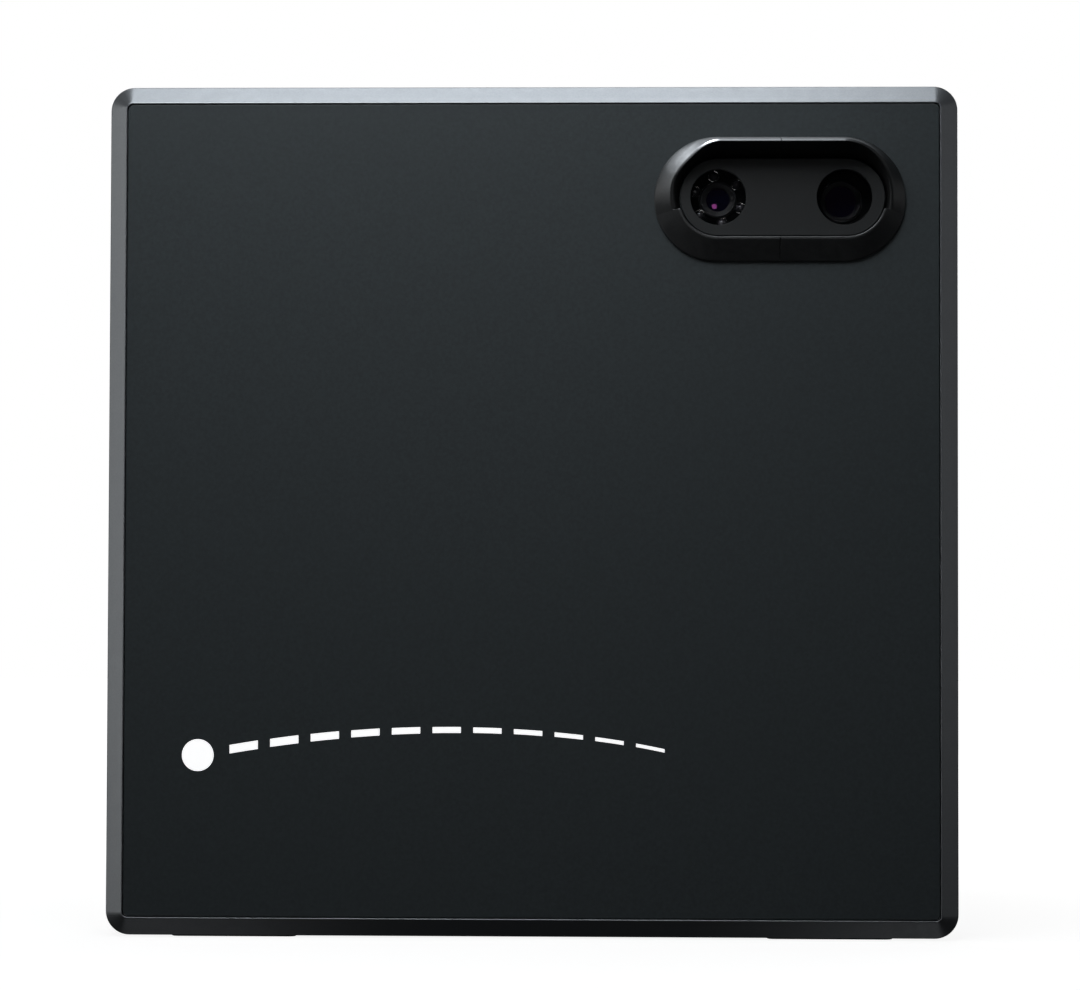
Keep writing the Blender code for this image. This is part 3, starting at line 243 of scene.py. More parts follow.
def framed(profile, width, height, radius, centre, closed=True, steps=CORNER_STEPS):
    """A profile of (inset, y) carried round a rounded rectangle seen from the front."""
    rows = []
    for inset, y in profile:
        outline = rounded_rectangle(width - 2 * inset, height - 2 * inset, radius - inset, steps)
        rows.append([(centre[0] + x, y, centre[1] + z) for x, z in outline])
    return shell(rows, closed)


def slab(outline, place, low, high, edge=0.3, axis="Y"):
    """A flat outline given a thickness along an axis, with its edges rounded by scaling inwards."""
    extent = max(max(abs(u), abs(v)) for u, v in outline)
    shrink = 1 - edge / extent
    part = 0.3  # where the edge's middle ring lies, as a share of the rounding
    eased_in = 1 - (1 - shrink) * part
    if edge > 0:
        rising = ((low, shrink), (low + edge * part, eased_in), (low + edge, 1))
        falling = ((high - edge, 1), (high - edge * part, eased_in), (high, shrink))
        levels = rising + falling
    else:
        levels = ((low, 1), (high, 1))
    rows = [[put(axis, place, u * scale, v * scale, level) for u, v in outline] for level, scale in levels]
    return shell(rows)


def put(axis, place, u, v, along):
    """The point at (u, v) across an axis and at a distance along it."""
    if axis == "X":
        return along, place[0] + u, place[1] + v
    if axis == "Y":
        return place[0] + u, along, place[1] + v
    return place[0] + u, place[1] + v, along


def turned(profile, place, axis="Y", sides=ROUND_SIDES, closed=False):
    """A profile of (radius, distance along the axis) turned about an axis through a point."""
    rows = []
    for radius, along in profile:
        rows.append([put(axis, place, u, v, along) for u, v in circle(max(radius, 0.01), sides)])
    return shell(rows, closed)


def hole(radius, place, low, high, axis="Y", sides=ROUND_SIDES):
    """A cylinder along an axis, mostly to cut with."""
    return turned([(radius, low), (radius, high)], place, axis, sides)


def block(low, high):
    outline = [(low[0], low[2]), (high[0], low[2]), (high[0], high[2]), (low[0], high[2])]
    rows = [[(x, y, z) for x, z in outline] for y in (low[1], high[1])]
    return shell(rows)


def joined(meshes):
    """Several separate meshes as one."""
    shape = bmesh.new()
    for mesh in meshes:
        shape.from_mesh(mesh)
        bpy.data.meshes.remove(mesh)
    mesh = bpy.data.meshes.new("joined")
    shape.to_mesh(mesh)
    shape.free()
    return mesh


def applied(mesh, *steps):
    """The mesh after modifiers, each given as (type, settings)."""
    obj = bpy.data.objects.new("shape", mesh)
    bpy.context.scene.collection.objects.link(obj)
    for kind, settings in steps:
        modifier = obj.modifiers.new(kind, kind)
        for key, value in settings.items():
            setattr(modifier, key, value)
    graph = bpy.context.evaluated_depsgraph_get()
    result = bpy.data.meshes.new_from_object(obj.evaluated_get(graph))
    bpy.data.objects.remove(obj)
    return result


def carved(mesh, cutters, operation="DIFFERENCE"):
    """The mesh after a Boolean with each of the cutters in turn."""
    tools = []
    for cutter in cutters:
        tool = bpy.data.objects.new("cutter", cutter)
        bpy.context.scene.collection.objects.link(tool)
        tools.append(tool)
    steps = [("BOOLEAN", {"operation": operation, "object": tool, "solver": "EXACT"}) for tool in tools]
    result = applied(mesh, *steps)
    for tool in tools:
        bpy.data.objects.remove(tool)
    return result


def eased(mesh, width, segments=2):
    """The mesh with its sharp edges rounded."""
    shape = bmesh.new()
    shape.from_mesh(mesh)
    bmesh.ops.remove_doubles(shape, verts=shape.verts, dist=1e-7)
    bmesh.ops.dissolve_limit(shape, angle_limit=0.002, verts=shape.verts, edges=shape.edges)
    shape.to_mesh(mesh)
    shape.free()
    bevel = {
        "width": width * MM,
        "segments": segments,
        "limit_method": "ANGLE",
        "angle_limit": math.radians(35),
        "use_clamp_overlap": True,
    }
    return applied(mesh, ("BEVEL", bevel))


def piece(name, mesh, look, replaces=(), body="unit", sharp=30):
    """A shown piece of the object, which rides on a CAD body. Edges sharper than an angle in degrees
    stay crisp."""
    mesh.shade_smooth()
    mesh.set_sharp_from_angle(angle=math.radians(sharp))
    mesh = applied(mesh, ("WEIGHTED_NORMAL", {"keep_sharp": True, "weight": 50}))
    mesh.materials.clear()
    mesh.materials.append(MATERIALS[look])
    mesh.name = name
    obj = bpy.data.objects.new(name, mesh)
    bpy.context.scene.collection.objects.link(obj)
    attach(obj, body)
    if replaces:
        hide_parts(*replaces)
    return obj


# ---------------------------------------------------------------- materials

NOISE_LOW = 0.3
NOISE_HIGH = 0.7


class Shader:
    """A Principled material whose fine detail comes from procedural noise."""

    def __init__(self, name, colour, roughness, metallic=0.0, specular=0.5):
        self.material = bpy.data.materials.new(name)
        self.material.use_nodes = True
        self.tree = self.material.node_tree
        self.nodes = self.tree.nodes
        self.shader = self.nodes["Principled BSDF"]
        self.colour = colour
        self.roughness = roughness
        self.set("Base Color", (*colour, 1))
        self.set("Roughness", roughness)
        self.set("Metallic", metallic)
        self.set("Specular IOR Level", specular)
        self.place = self.nodes.new("ShaderNodeTexCoord").outputs["Object"]

    def set(self, socket, value):
        self.shader.inputs[socket].default_value = value
        return self

    def link(self, output, target):
        self.tree.links.new(output, target)

    def noise(self, scale, detail=3.0, stretch=(1, 1, 1)):
        """Noise of a size given in cells per metre."""
        mapping = self.nodes.new("ShaderNodeMapping")
        mapping.inputs["Scale"].default_value = stretch
        self.link(self.place, mapping.inputs["Vector"])
        noise = self.nodes.new("ShaderNodeTexNoise")
        noise.inputs["Scale"].default_value = scale
        noise.inputs["Detail"].default_value = detail
        noise.inputs["Roughness"].default_value = 0.55
        self.link(mapping.outputs["Vector"], noise.inputs["Vector"])
        return noise.outputs["Fac"]

    def ranged(self, value, low, high):
        """Noise, which stays mostly between two levels, spread between low and high."""
        spread = self.nodes.new("ShaderNodeMapRange")
        spread.inputs["From Min"].default_value = NOISE_LOW
        spread.inputs["From Max"].default_value = NOISE_HIGH
        spread.inputs["To Min"].default_value = low
        spread.inputs["To Max"].default_value = high
        self.link(value, spread.inputs["Value"])
        return spread.outputs["Result"]

    def vary_roughness(self, scale, amount, stretch=(1, 1, 1)):
        value = self.noise(scale, stretch=stretch)
        level = self.ranged(value, self.roughness - amount, self.roughness + amount)
        self.link(level, self.shader.inputs["Roughness"])
        return self

    def vary_colour(self, scale, amount, stretch=(1, 1, 1)):
        """The base colour made a little darker and lighter."""
        ramp = self.nodes.new("ShaderNodeValToRGB")
        ramp.color_ramp.elements[0].position = NOISE_LOW
        ramp.color_ramp.elements[1].position = NOISE_HIGH
        for element, gain in zip(ramp.color_ramp.elements, (1 - amount, 1 + amount)):
            element.color = (*[min(channel * gain, 1) for channel in self.colour], 1)
        self.link(self.noise(scale, stretch=stretch), ramp.inputs["Fac"])
        self.link(ramp.outputs["Color"], self.shader.inputs["Base Color"])
        return self

    def grain(self, scale, height, stretch=(1, 1, 1)):
        """Surface grain of a height in millimetres."""
        bump = self.nodes.new("ShaderNodeBump")
        bump.inputs["Strength"].default_value = 1.0
        bump.inputs["Distance"].default_value = height * MM
        self.link(self.noise(scale, 2.0, stretch), bump.inputs["Height"])
        self.link(bump.outputs["Normal"], self.shader.inputs["Normal"])
        return self


def make_materials():
    made = {
        "radome": Shader("radome", (0.034, 0.042, 0.046), 0.55, specular=0.35)
        .vary_colour(900, 0.12).vary_roughness(60, 0.05).grain(2200, 0.02),
        "bezel": Shader("bezel", (0.30, 0.315, 0.335), 0.36, 0.85)
        .vary_colour(1500, 0.05).vary_roughness(300, 0.04).grain(3000, 0.006),
        "housing": Shader("housing", (0.26, 0.27, 0.285), 0.4, 0.85)
        .vary_colour(1500, 0.05).vary_roughness(300, 0.05).grain(3000, 0.006),
        "cover": Shader("cover", (0.075, 0.08, 0.086), 0.5, 0.4)
        .vary_colour(1200, 0.1).vary_roughness(600, 0.06).grain(1800, 0.02),
        "hood": Shader("hood", (0.085, 0.087, 0.09), 0.42, 0.95)
        .vary_colour(1500, 0.06).vary_roughness(400, 0.04).grain(2600, 0.006),
        "plate": Shader("plate", (0.02, 0.0215, 0.023), 0.5, specular=0.4)
        .vary_colour(1200, 0.1).vary_roughness(200, 0.05).grain(2600, 0.01),
        "baffle": Shader("baffle", (0.006, 0.006, 0.006), 0.75, specular=0.2)
        .vary_colour(1500, 0.2).grain(2000, 0.02),
        "barrel": Shader("barrel", (0.10, 0.10, 0.105), 0.4, specular=0.4)
        .vary_roughness(700, 0.06).grain(3000, 0.004),
        "glass": Shader("glass", (0.004, 0.005, 0.006), 0.04, specular=0.5)
        .set("Alpha", 0.12).vary_roughness(40, 0.015),
        "lens": Shader("lens", (0.002, 0.007, 0.028), 0.05)
        .set("IOR", 1.9).set("Specular Tint", (1.0, 0.2, 0.85, 1)).vary_roughness(60, 0.012),
        "led": Shader("led", (0.10, 0.095, 0.11), 0.06, specular=0.8)
        .set("Coat Weight", 1.0).vary_roughness(500, 0.02),
        "reflector": Shader("reflector", (0.8, 0.8, 0.81), 0.16, 1.0)
        .vary_roughness(500, 0.05).grain(2500, 0.004),
        "board": Shader("board", (0.02, 0.11, 0.05), 0.45)
        .vary_colour(300, 0.25).vary_roughness(300, 0.08).grain(900, 0.01),
        "shield": Shader("shield", (0.55, 0.56, 0.57), 0.34, 0.9)
        .vary_roughness(40, 0.07, (1, 1, 30)).grain(700, 0.01, stretch=(1, 1, 30)),
        "sink": Shader("sink", (0.045, 0.046, 0.05), 0.42, 0.75)
        .vary_colour(500, 0.12).vary_roughness(90, 0.07, (30, 30, 1)).grain(700, 0.01, stretch=(8, 8, 1)),
        "battery": Shader("battery", (0.02, 0.09, 0.22), 0.35)
        .vary_colour(90, 0.15).vary_roughness(150, 0.08).grain(200, 0.05),
        "steel": Shader("steel", (0.5, 0.5, 0.51), 0.3, 1.0)
        .vary_roughness(400, 0.08).grain(900, 0.01),
        "black_steel": Shader("black_steel", (0.07, 0.07, 0.074), 0.36, 0.9)
        .vary_roughness(500, 0.08).grain(1500, 0.008),
        "brass": Shader("brass", (0.6, 0.42, 0.12), 0.3, 1.0)
        .vary_roughness(500, 0.08).grain(1200, 0.01),
        "leg": Shader("leg", (0.22, 0.23, 0.245), 0.4, 0.85)
        .vary_colour(1500, 0.05).vary_roughness(900, 0.03).grain(3000, 0.006),
        "rubber": Shader("rubber", (0.014, 0.014, 0.015), 0.82, specular=0.3)
        .vary_colour(700, 0.2).vary_roughness(150, 0.06).grain(1500, 0.03),
        "nickel": Shader("nickel", (0.58, 0.57, 0.55), 0.25, 1.0)
        .vary_roughness(300, 0.07).grain(1200, 0.006),
        "moulding": Shader("moulding", (0.016, 0.016, 0.017), 0.42)
        .vary_colour(900, 0.15).vary_roughness(300, 0.06).grain(1500, 0.012),
        "display": Shader("display", (0.006, 0.008, 0.011), 0.12)
        .vary_roughness(120, 0.03),
        "wire": Shader("wire", (0.35, 0.02, 0.02), 0.45)
        .vary_roughness(200, 0.06).grain(900, 0.01),
        "ribbon": Shader("ribbon", (0.5, 0.22, 0.03), 0.35)
        .vary_colour(600, 0.12, (20, 1, 1)).vary_roughness(200, 0.05),
        # Painted light: the white print also glows by itself (emission 0.75), so it stays white in shade
        # and from every side.
        "print_and_painted_glow": Shader("print_and_painted_glow", (0.9, 0.9, 0.9), 0.55, specular=0.3)
        .set("Emission Color", (1, 1, 1, 1)).set("Emission Strength", 0.75)
        .vary_colour(2500, 0.04).vary_roughness(900, 0.05),
    }
    return {name: shader.material for name, shader in made.items()}


MATERIALS = make_materials()


# ---------------------------------------------------------------- housing

def make_bezel():
    seat = (SIDE - RADOME_SIDE) / 2 - GAP
    inner = (SIDE - LEDGE_OPENING) / 2
    back = [(WALL, BEZEL_BACK), (0, BEZEL_BACK)]
    front = [(0, CHAMFER), (CHAMFER, 0), (seat, 0), (seat, LEDGE_FRONT)]
    inside = [(inner, LEDGE_FRONT), (inner, LEDGE_BACK), (WALL, LEDGE_BACK)]
    profile = fillet(back + front, 0.45, 5) + inside
    mesh = framed(profile, SIDE, SIDE, CORNER, HOUSING_MIDDLE, steps=HOUSING_STEPS)
    piece("front_bezel_shell", mesh, "bezel", ["front_bezel"])


def make_radome():
    front = [(CAP_INSET, RADOME_FRONT), (0, RADOME_FRONT)]
    back = [(0, RADOME_BACK), (CAP_INSET, RADOME_BACK)]
    profile = fillet(front + back, 0.35)
    mesh = framed(profile, RADOME_SIDE, RADOME_SIDE, RADOME_CORNER, HOUSING_MIDDLE, closed=False)
    aperture = slab(stadium(*APERTURE), PLATE_MIDDLE, -2, 5, 0)
    mesh = carved(mesh, [aperture])
    piece("radome_panel", mesh, "radome", ["radome"])


def make_housing_frame():
    profile = fillet([(WALL, FRAME_FRONT), (0, FRAME_FRONT), (0, FRAME_BACK), (WALL, FRAME_BACK)], 0.35)
    mesh = framed(profile, SIDE, SIDE, CORNER, HOUSING_MIDDLE, steps=HOUSING_STEPS)
    display_opening = rounded_rectangle(46, 8, 1)
    display_rebate = rounded_rectangle(50.6, 11.6, 1.6)
    cutters = [
        slab(display_opening, CONTROL_MIDDLE, TOP - 8, TOP + 3, 0, "Z"),
        slab(display_rebate, CONTROL_MIDDLE, TOP - 2, TOP + 3, 0, "Z"),
        hole(BUTTON_RADIUS + GAP, (BUTTON_X, CONTROL_Y), TOP - 8, TOP + 3, "Z"),
        hole(4.5, (0, INSERT_Y), -3, 8, "Z"),
        block((-39.3, 29.9, 2.2), (39.3, 36, 5.5)),
    ]
    mesh = eased(carved(mesh, cutters), 0.2)
    piece("housing_frame_shell", mesh, "housing", ["housing_frame"])


def screw_places():
    return [(side * 139.0, z) for side in (-1, 1) for z in (14.0, MIDDLE_Z, TOP - 12.0)]


def cover_blocks():
    """Solid blocks behind the cover's wall, for the tub, the port bay, the sink's frame and screws."""
    blocks = [
        block((-39, 30.2, 2.5), (39, BLOCK_BACK, 127)),
        block((-139.5, 33.4, 19.5), (-66, BLOCK_BACK, 60.5)),
        block((SINK_X - 45, 37.3, SINK_Z - 69), (SINK_X + 45, BLOCK_BACK, SINK_Z + 69)),
    ]
    for place in screw_places():
        blocks.append(hole(5.5, place, COVER_FRONT + 0.01, BLOCK_BACK, sides=24))
    return blocks


def cover_cutters():
    """The tub, port bay, door rebate, hinge slot and sink window, with the sockets' and screws' holes."""
    past_back = DEPTH + OVERRUN
    slot_low = (DOOR_AXIS[0] - 3.4, 40.2, DOOR_Z[0] - GAP)
    slot_high = (DOOR_X[0] + 1, past_back, DOOR_Z[1] + GAP)
    cutters = [
        slab(rounded_rectangle(TUB_WIDTH, TUB_HEIGHT, 5), TUB_MIDDLE, TUB_FLOOR, past_back, 0),
        slab(rounded_rectangle(56, 30, 3), BAY_MIDDLE, BAY_FLOOR, past_back, 0),
        slab(rounded_rectangle(61.5, 34.8, 2.3), DOOR_MIDDLE, DOOR_FRONT - GAP, past_back, 0),
        block(slot_low, slot_high),
        slab(rounded_rectangle(*SINK_WINDOW, 5), SINK_MIDDLE, 35, past_back, 0),
    ]
    for x, width, height in JACKS.values():
        outline = rounded_rectangle(width + 2 * GAP, height + 2 * GAP, 0.8, 3)
        cutters.append(slab(outline, (x, JACK_BASE_Z + height / 2), 31, 37, 0))
    for place in screw_places():
        cutters.append(hole(3.4, place, 41.5, past_back, sides=32))
        cutters.append(hole(1.8, place, 30, 43, sides=24))
    return cutters


def make_rear_cover():
    """The cover's hollow shell with the blocks joined inside it and everything cut through it."""
    outer = fillet([(0, COVER_FRONT), (0, DEPTH - 1.2), (1.2, DEPTH), (CAP_INSET, DEPTH)], 1.4, 8)
    shape = framed(outer, SIDE, SIDE, CORNER, HOUSING_MIDDLE, closed=False, steps=HOUSING_STEPS)
    inside = rounded_rectangle(SIDE - 2 * WALL, SIDE - 2 * WALL, CORNER - WALL)
    hollow = slab(inside, HOUSING_MIDDLE, COVER_FRONT - OVERRUN, DEPTH - BACK_WALL, 0)
    shape = carved(shape, [hollow])
    shape = carved(shape, cover_blocks(), "UNION")
    shape = eased(carved(shape, cover_cutters()), 0.25)
    piece("rear_cover_shell", shape, "cover", ["rear_cover"])


def make_cover_screws():
    """Button screws with a hexagon socket, one in each counterbore."""
    profile = [(1.45, 44.0), (3.0, 43.9), (3.0, 41.8), (1.45, 41.8), (1.45, 25.2), (0.5, 25.2)]
    for index, place in enumerate(screw_places(), start=1):
        rod = turned([(0.5, 44.0), *fillet(profile, 0.5, 3)], place, sides=32)
        socket = slab(circle(1.35, 6), place, 42.6, 46, 0)
        mesh = carved(rod, [socket])
        name = f"cover_screw_{index}"
        piece(f"{name}_turned", mesh, "black_steel", [name])


def make_feet():
    for word, x in FOOT_XS.items():
        mesh = slab(rounded_rectangle(44, 8, 2.5), (x, FOOT_Y), 0, 1.3, 0.25, "Z")
        piece(f"front_foot_{word}_pad", mesh, "rubber", [f"front_foot_{word}"])


# ---------------------------------------------------------------- camera hood

def smoothstep(value, low, high):
    t = min(max((value - low) / (high - low), 0), 1)
    return t * t * (3 - 2 * t)


def ring_point(ring, side, angle):
    """The point of a stadium ring at an angle of its end arc, in degrees above the long axis."""
    half_length, half_height, x, z = ring
    turn = math.radians(angle)
    reach = half_length - half_height + half_height * math.cos(turn)
    return Vector((side * reach + x, z + half_height * math.sin(turn)))


# Rings of the hood: half length, half height, and the centre's offset from the hood's
FOOT_RING = (44.1, 21.95, 0, 0)
LIP_OUTER = (37.1, 14.8, 0.9, 0.5)
LIP_INNER = (36.2, 13.9, 0.9, 0.5)
RIM_OUTER = (38.9, 17.4, 0.4, 2.3)
RIM_INNER = (37.9, 16.4, 0.4, 2.3)
FOOT_FRONT = -0.8
LIP_FRONT = -4.0
LIP_START = -17  # degrees above the hood's long axis, where the lip has its full shape
VISOR_FRONT = -14.0  # at the top, where the visor is deepest
VISOR_END = -15.4  # degrees, where the visor stops
VISOR_EASE = 15  # degrees above the axis, where its rim starts to come down onto the lip's flank
FLANK_SHARE = 0.75  # how far up the flank it ends
VISOR_END_FRONT = FOOT_FRONT + (LIP_FRONT - FOOT_FRONT) * FLANK_SHARE
RIM_WALL = 0.13  # the rim's width at its end, as a share of the flank's
RIM_SLOPE = 0.7  # how much further back the rim's outer edge lies at the top
RIM_CURVE = 0.65  # under 1, so that the rim drops faster beside its top
CORNER_CUT = {-1: 1.5, 1: 0.0}  # off the rim's upper corner on the left and right half
HOOD_ANGLES = [*range(90, -12, -3), -13, -15.4, -15.8, -16.2, -16.6, -17, -18, *range(-21, -91, -3), -90]
SEAM_HALF = 0.12


def visor_point(ring, side, angle, share):
    """A point of the visor's rim, which cuts the upper left corner. Towards its two ends the rim
    comes down onto the lip's flank, at a share of the way up it."""
    half_length, half_height, x, z = ring
    cut = CORNER_CUT[side] * math.sin(2 * math.radians(max(angle, 0))) ** 2
    rim = ring_point((half_length - cut, half_height - cut, x, z), side, angle)
    flank = ring_point(FOOT_RING, side, angle).lerp(ring_point(LIP_OUTER, side, angle), share)
    return rim.lerp(flank, smoothstep(-angle, -VISOR_EASE, -VISOR_END))


def hood_section(side, angle):
    """The hood's wall at one place round it, as (x, z, y), from the outer foot over the rim. The
    visor gets shallower towards its two ends, where its inner wall stops at the lip below."""
    visor = smoothstep(angle, LIP_START, VISOR_END)
    drop = 1 - math.sin(math.radians(angle))
    whole_drop = 1 - math.sin(math.radians(VISOR_END))
    fall = min(drop / whole_drop, 1) ** RIM_CURVE
    visor_y = VISOR_FRONT + (VISOR_END_FRONT - VISOR_FRONT) * fall
    rim_y = LIP_FRONT + (visor_y - LIP_FRONT) * visor
    foot = ring_point(FOOT_RING, side, angle)
    rim_outer = visor_point(RIM_OUTER, side, angle, FLANK_SHARE)
    rim_inner = visor_point(RIM_INNER, side, angle, FLANK_SHARE + RIM_WALL)
    outer = ring_point(LIP_OUTER, side, angle).lerp(rim_outer, visor)
    inner = ring_point(LIP_INNER, side, angle).lerp(rim_inner, visor)
    root = ring_point(LIP_INNER, side, angle)
    slope = RIM_SLOPE * visor * (1 - fall)
    outside = [(*foot, HOOD_BACK), (*foot, FOOT_FRONT), (*outer, rim_y + slope)]
    inside = [(*inner, rim_y), (*root, HOOD_BACK)]
    return fillet(outside + inside, 0.42)


def make_hood():
    """Two moulded halves that meet in a fine seam above and below."""
    for side, word in ((-1, "left"), (1, "right")):
        rows = []
        for angle in (90, *HOOD_ANGLES, -90):
            at_seam = not rows or len(rows) > len(HOOD_ANGLES)
            row = []
            for x, z, y in hood_section(side, angle):
                across = side * SEAM_HALF if at_seam else x
                row.append((HOOD_X + across, y, HOOD_Z + z))
            rows.append(row)
        name = f"camera_hood_{word}"
        piece(f"{name}_shell", shell(rows), "hood", [name], sharp=50)


def make_window_plate():
    inset = 12
    profile = fillet([(inset, PLATE_FRONT), (0, PLATE_FRONT), (0, HOOD_BACK), (inset, HOOD_BACK)], 0.3)
    size = (PLATE_LENGTH, PLATE_HEIGHT, PLATE_HEIGHT / 2)
    mesh = framed(profile, *size, PLATE_MIDDLE, closed=False, steps=20)
    cone = [(10.6, -3.2), (WINDOW_RADIUS, -2.35), (WINDOW_RADIUS, 2)]
    mesh = carved(mesh, [turned(cone, (x, PLATE_Z), sides=FINE_SIDES) for x in WINDOW_XS])
    piece("camera_window_surround", mesh, "plate", ["camera_window_plate"])
    glass = slab(stadium(*GLASS, 16), PLATE_MIDDLE, 0.2, 1.8, 0.15)
    piece("camera_cover_glass", glass, "glass", ["camera_glass"])


def make_baffle():
    """The block behind the windows. The left well is open, and the right one has a floor with a bore
    for the video lens."""
    mesh = slab(rounded_rectangle(72, 30, 8), PLATE_MIDDLE, 3.1, 13.7)
    left, right = WINDOW_XS
    wells = [
        hole(WELL_RADIUS, (left, PLATE_Z), 0, 16, sides=FINE_SIDES),
        hole(WELL_RADIUS, (right, PLATE_Z), 0, 12.7, sides=FINE_SIDES),
        hole(7.8, (VIDEO_LENS_X, PLATE_Z), 10, 16, sides=FINE_SIDES),
    ]
    mesh = carved(mesh, wells)
    piece("light_baffle_body", mesh, "baffle", ["light_baffle"])


def make_lens(name, x, radius, front, glass_radius, sag):
    """A barrel with a stepped, ridged mouth round a coated front element, whose middle stands proud
    of its edge by its sag."""
    place = (x, PLATE_Z)
    bore = glass_radius + 0.25
    mouth = front + 1.4
    seat = front + 4.6
    profile = [(radius - 0.5, front), (radius, front + 0.5), (radius, LENS_BACK)]
    profile += [(bore - 1.2, LENS_BACK), (bore - 1.2, seat), (bore, seat), (bore, mouth)]
    ridges = 4
    for ridge in range(ridges):
        share = ridge / ridges
        reach = bore + (radius - 0.9 - bore) * share
        level = mouth - 1.1 * share
        profile += [(reach + 0.12, level - 0.12), (reach + 0.28, level - 0.28)]
    barrel = turned(profile, place, sides=FINE_SIDES, closed=True)
    piece(f"{name}_barrel_turned", barrel, "barrel", [f"{name}_barrel"])
    dome = []
    rings = 8
    for ring in range(rings + 1):
        share = ring / rings
        dome.append((glass_radius * share, front + 1.6 + sag * share * share))
    dome += [(glass_radius, front + 4.2), (0.1, front + 4.2)]
    element = turned(dome, place, sides=FINE_SIDES)
    piece(f"{name}_element", element, "lens", [f"{name}_glass"])


def lamp_profile():
    """A lamp's dome, from its tip to its base."""
    dome = [(LED_RADIUS, 7.6)]
    for degrees in range(0, 91, 10):
        angle = math.radians(degrees)
        dome.append((LED_RADIUS * math.cos(angle), LED_BASE - LED_RADIUS * math.sin(angle)))
    return list(reversed(dome))


def make_led_ring():
    """The dark ring board round the tracking lens, and its lamps in their bright holders."""
    x = WINDOW_XS[0]
    ring = [(10.2, 8.0), (10.2, 9.2), (6.75, 9.2), (6.75, 8.0)]
    mesh = turned(ring, (x, PLATE_Z), sides=FINE_SIDES, closed=True)
    piece("led_ring_board_disc", mesh, "baffle", ["led_ring_board"])
    cup = fillet([(1.6, 7.9), (1.65, 7.2), (1.75, 5.8), (1.9, 5.8), (1.9, 7.9)], 0.2, 3)
    for index in range(6):
        angle = math.radians(LED_FIRST + 60 * index)
        place = (x + LED_CIRCLE * math.cos(angle), PLATE_Z + LED_CIRCLE * math.sin(angle))
        mesh = turned(lamp_profile(), place, sides=32)
        name = f"infrared_led_{index + 1}"
        piece(f"{name}_dome", mesh, "led", [name])
        holder = turned(cup, place, sides=32, closed=True)
        piece(f"{name}_holder", holder, "reflector")


# ---------------------------------------------------------------- top controls

def make_controls():
    window = slab(rounded_rectangle(50, 11, 1.3), CONTROL_MIDDLE, TOP - 1.7, TOP - 0.3, 0.2, "Z")
    piece("display_cover_glass", window, "glass", ["display_window"])
    low = TOP - 5.8
    high = TOP - 0.1
    flange = [(6, low), (6, low + 1.4), (BUTTON_RADIUS, low + 1.4)]
    rim = [(BUTTON_RADIUS, high), (3.9, high), (3.2, high - 0.35)]
    dish = [(2.2, high - 0.5), (1.1, high - 0.58), (AXIS_RADIUS, high - 0.6)]
    profile = [(AXIS_RADIUS, low), *fillet(flange + rim, 0.3, 3), *dish]
    mesh = turned(profile, (BUTTON_X, CONTROL_Y), "Z")
    piece("power_button_cap", mesh, "moulding", ["power_button"], body="power_button")


# ---------------------------------------------------------------- back

def make_heat_sink():
    parts = [slab(rounded_rectangle(86, 136, 4), SINK_MIDDLE, 34.5, 37)]
    for index in range(FIN_COUNT):
        x = SINK_X + (index - FIN_COUNT // 2) * FIN_PITCH
        parts.append(slab(rounded_rectangle(2, 124, 0.95, 4), (x, SINK_Z), 36.8, 44.4, 0.2))
    piece("heat_sink_fins", joined(parts), "sink", ["heat_sink"])


def make_port_door():
    """The door with its knuckle and a notch for a fingernail, and the pin that it turns on."""
    door = slab(rounded_rectangle(60.9, 34.2, 2), DOOR_MIDDLE, DOOR_FRONT, DOOR_BACK, 0.35)
    knuckle = hole(2.1, DOOR_AXIS, 28.0, 52.0, "Z")
    arm = block((DOOR_AXIS[0], DOOR_FRONT + 0.1, 28.1), (DOOR_X[0] + 3, DOOR_BACK - 0.1, 51.9))
    door = carved(door, [arm, knuckle], "UNION")
    bore = hole(1.15, DOOR_AXIS, 26, 54, "Z", 24)
    notch_middle = (DOOR_X[1] - 1.5, DOOR_MIDDLE[1])
    notch = slab(rounded_rectangle(5, 16, 2.4), notch_middle, DOOR_BACK - 0.9, DOOR_BACK + OVERRUN, 0)
    door = eased(carved(door, [bore, notch]), 0.15)
    piece("port_door_panel", door, "cover", ["port_door"], body="port_door")
    profile = [(AXIS_RADIUS, 20.7), (0.85, 20.7), (0.85, 59.3), (AXIS_RADIUS, 59.3)]
    pin = turned(profile, DOOR_AXIS, "Z", 24)
    piece("port_door_pin_rod", pin, "steel", ["port_door_pin"])


def make_ethernet_jack():
    x, width, height = JACKS["ethernet_jack"]
    z = JACK_BASE_Z + height / 2
    body = slab(rounded_rectangle(width, height, 0.5, 4), (x, z), 24, JACK_MOUTH, 0.15)
    socket = block((x - 5.9, 26, z - 3.4), (x + 5.9, 40, z + 4.2))
    key = block((x - 3.2, 26, z - 5.2), (x + 3.2, 40, z - 3))
    body = carved(body, [socket, key])
    piece("ethernet_jack_can", body, "nickel", ["ethernet_jack"])
    contacts = []
    for index in range(8):
        step = 1.02 * index
        contacts.append(block((x - 3.9 + step, 29, z + 2.6), (x - 3.5 + step, 36, z + 3.9)))
    piece("ethernet_contacts", joined(contacts), "brass")


def make_usb_jack():
    x, width, height = JACKS["usb_jack"]
    z = JACK_BASE_Z + height / 2
    body = slab(rounded_rectangle(width, height, 1.7, 6), (x, z), 28, JACK_MOUTH, 0.1)
    mouth = rounded_rectangle(width - 0.9, height - 0.9, 1.3, 6)
    body = carved(body, [slab(mouth, (x, z), 30.5, 40, 0)])
    tongue = block((x - 3.3, 29, z - 0.35), (x + 3.3, JACK_MOUTH - 1, z + 0.35))
    piece("usb_jack_shell", joined([body, tongue]), "nickel", ["usb_jack"])


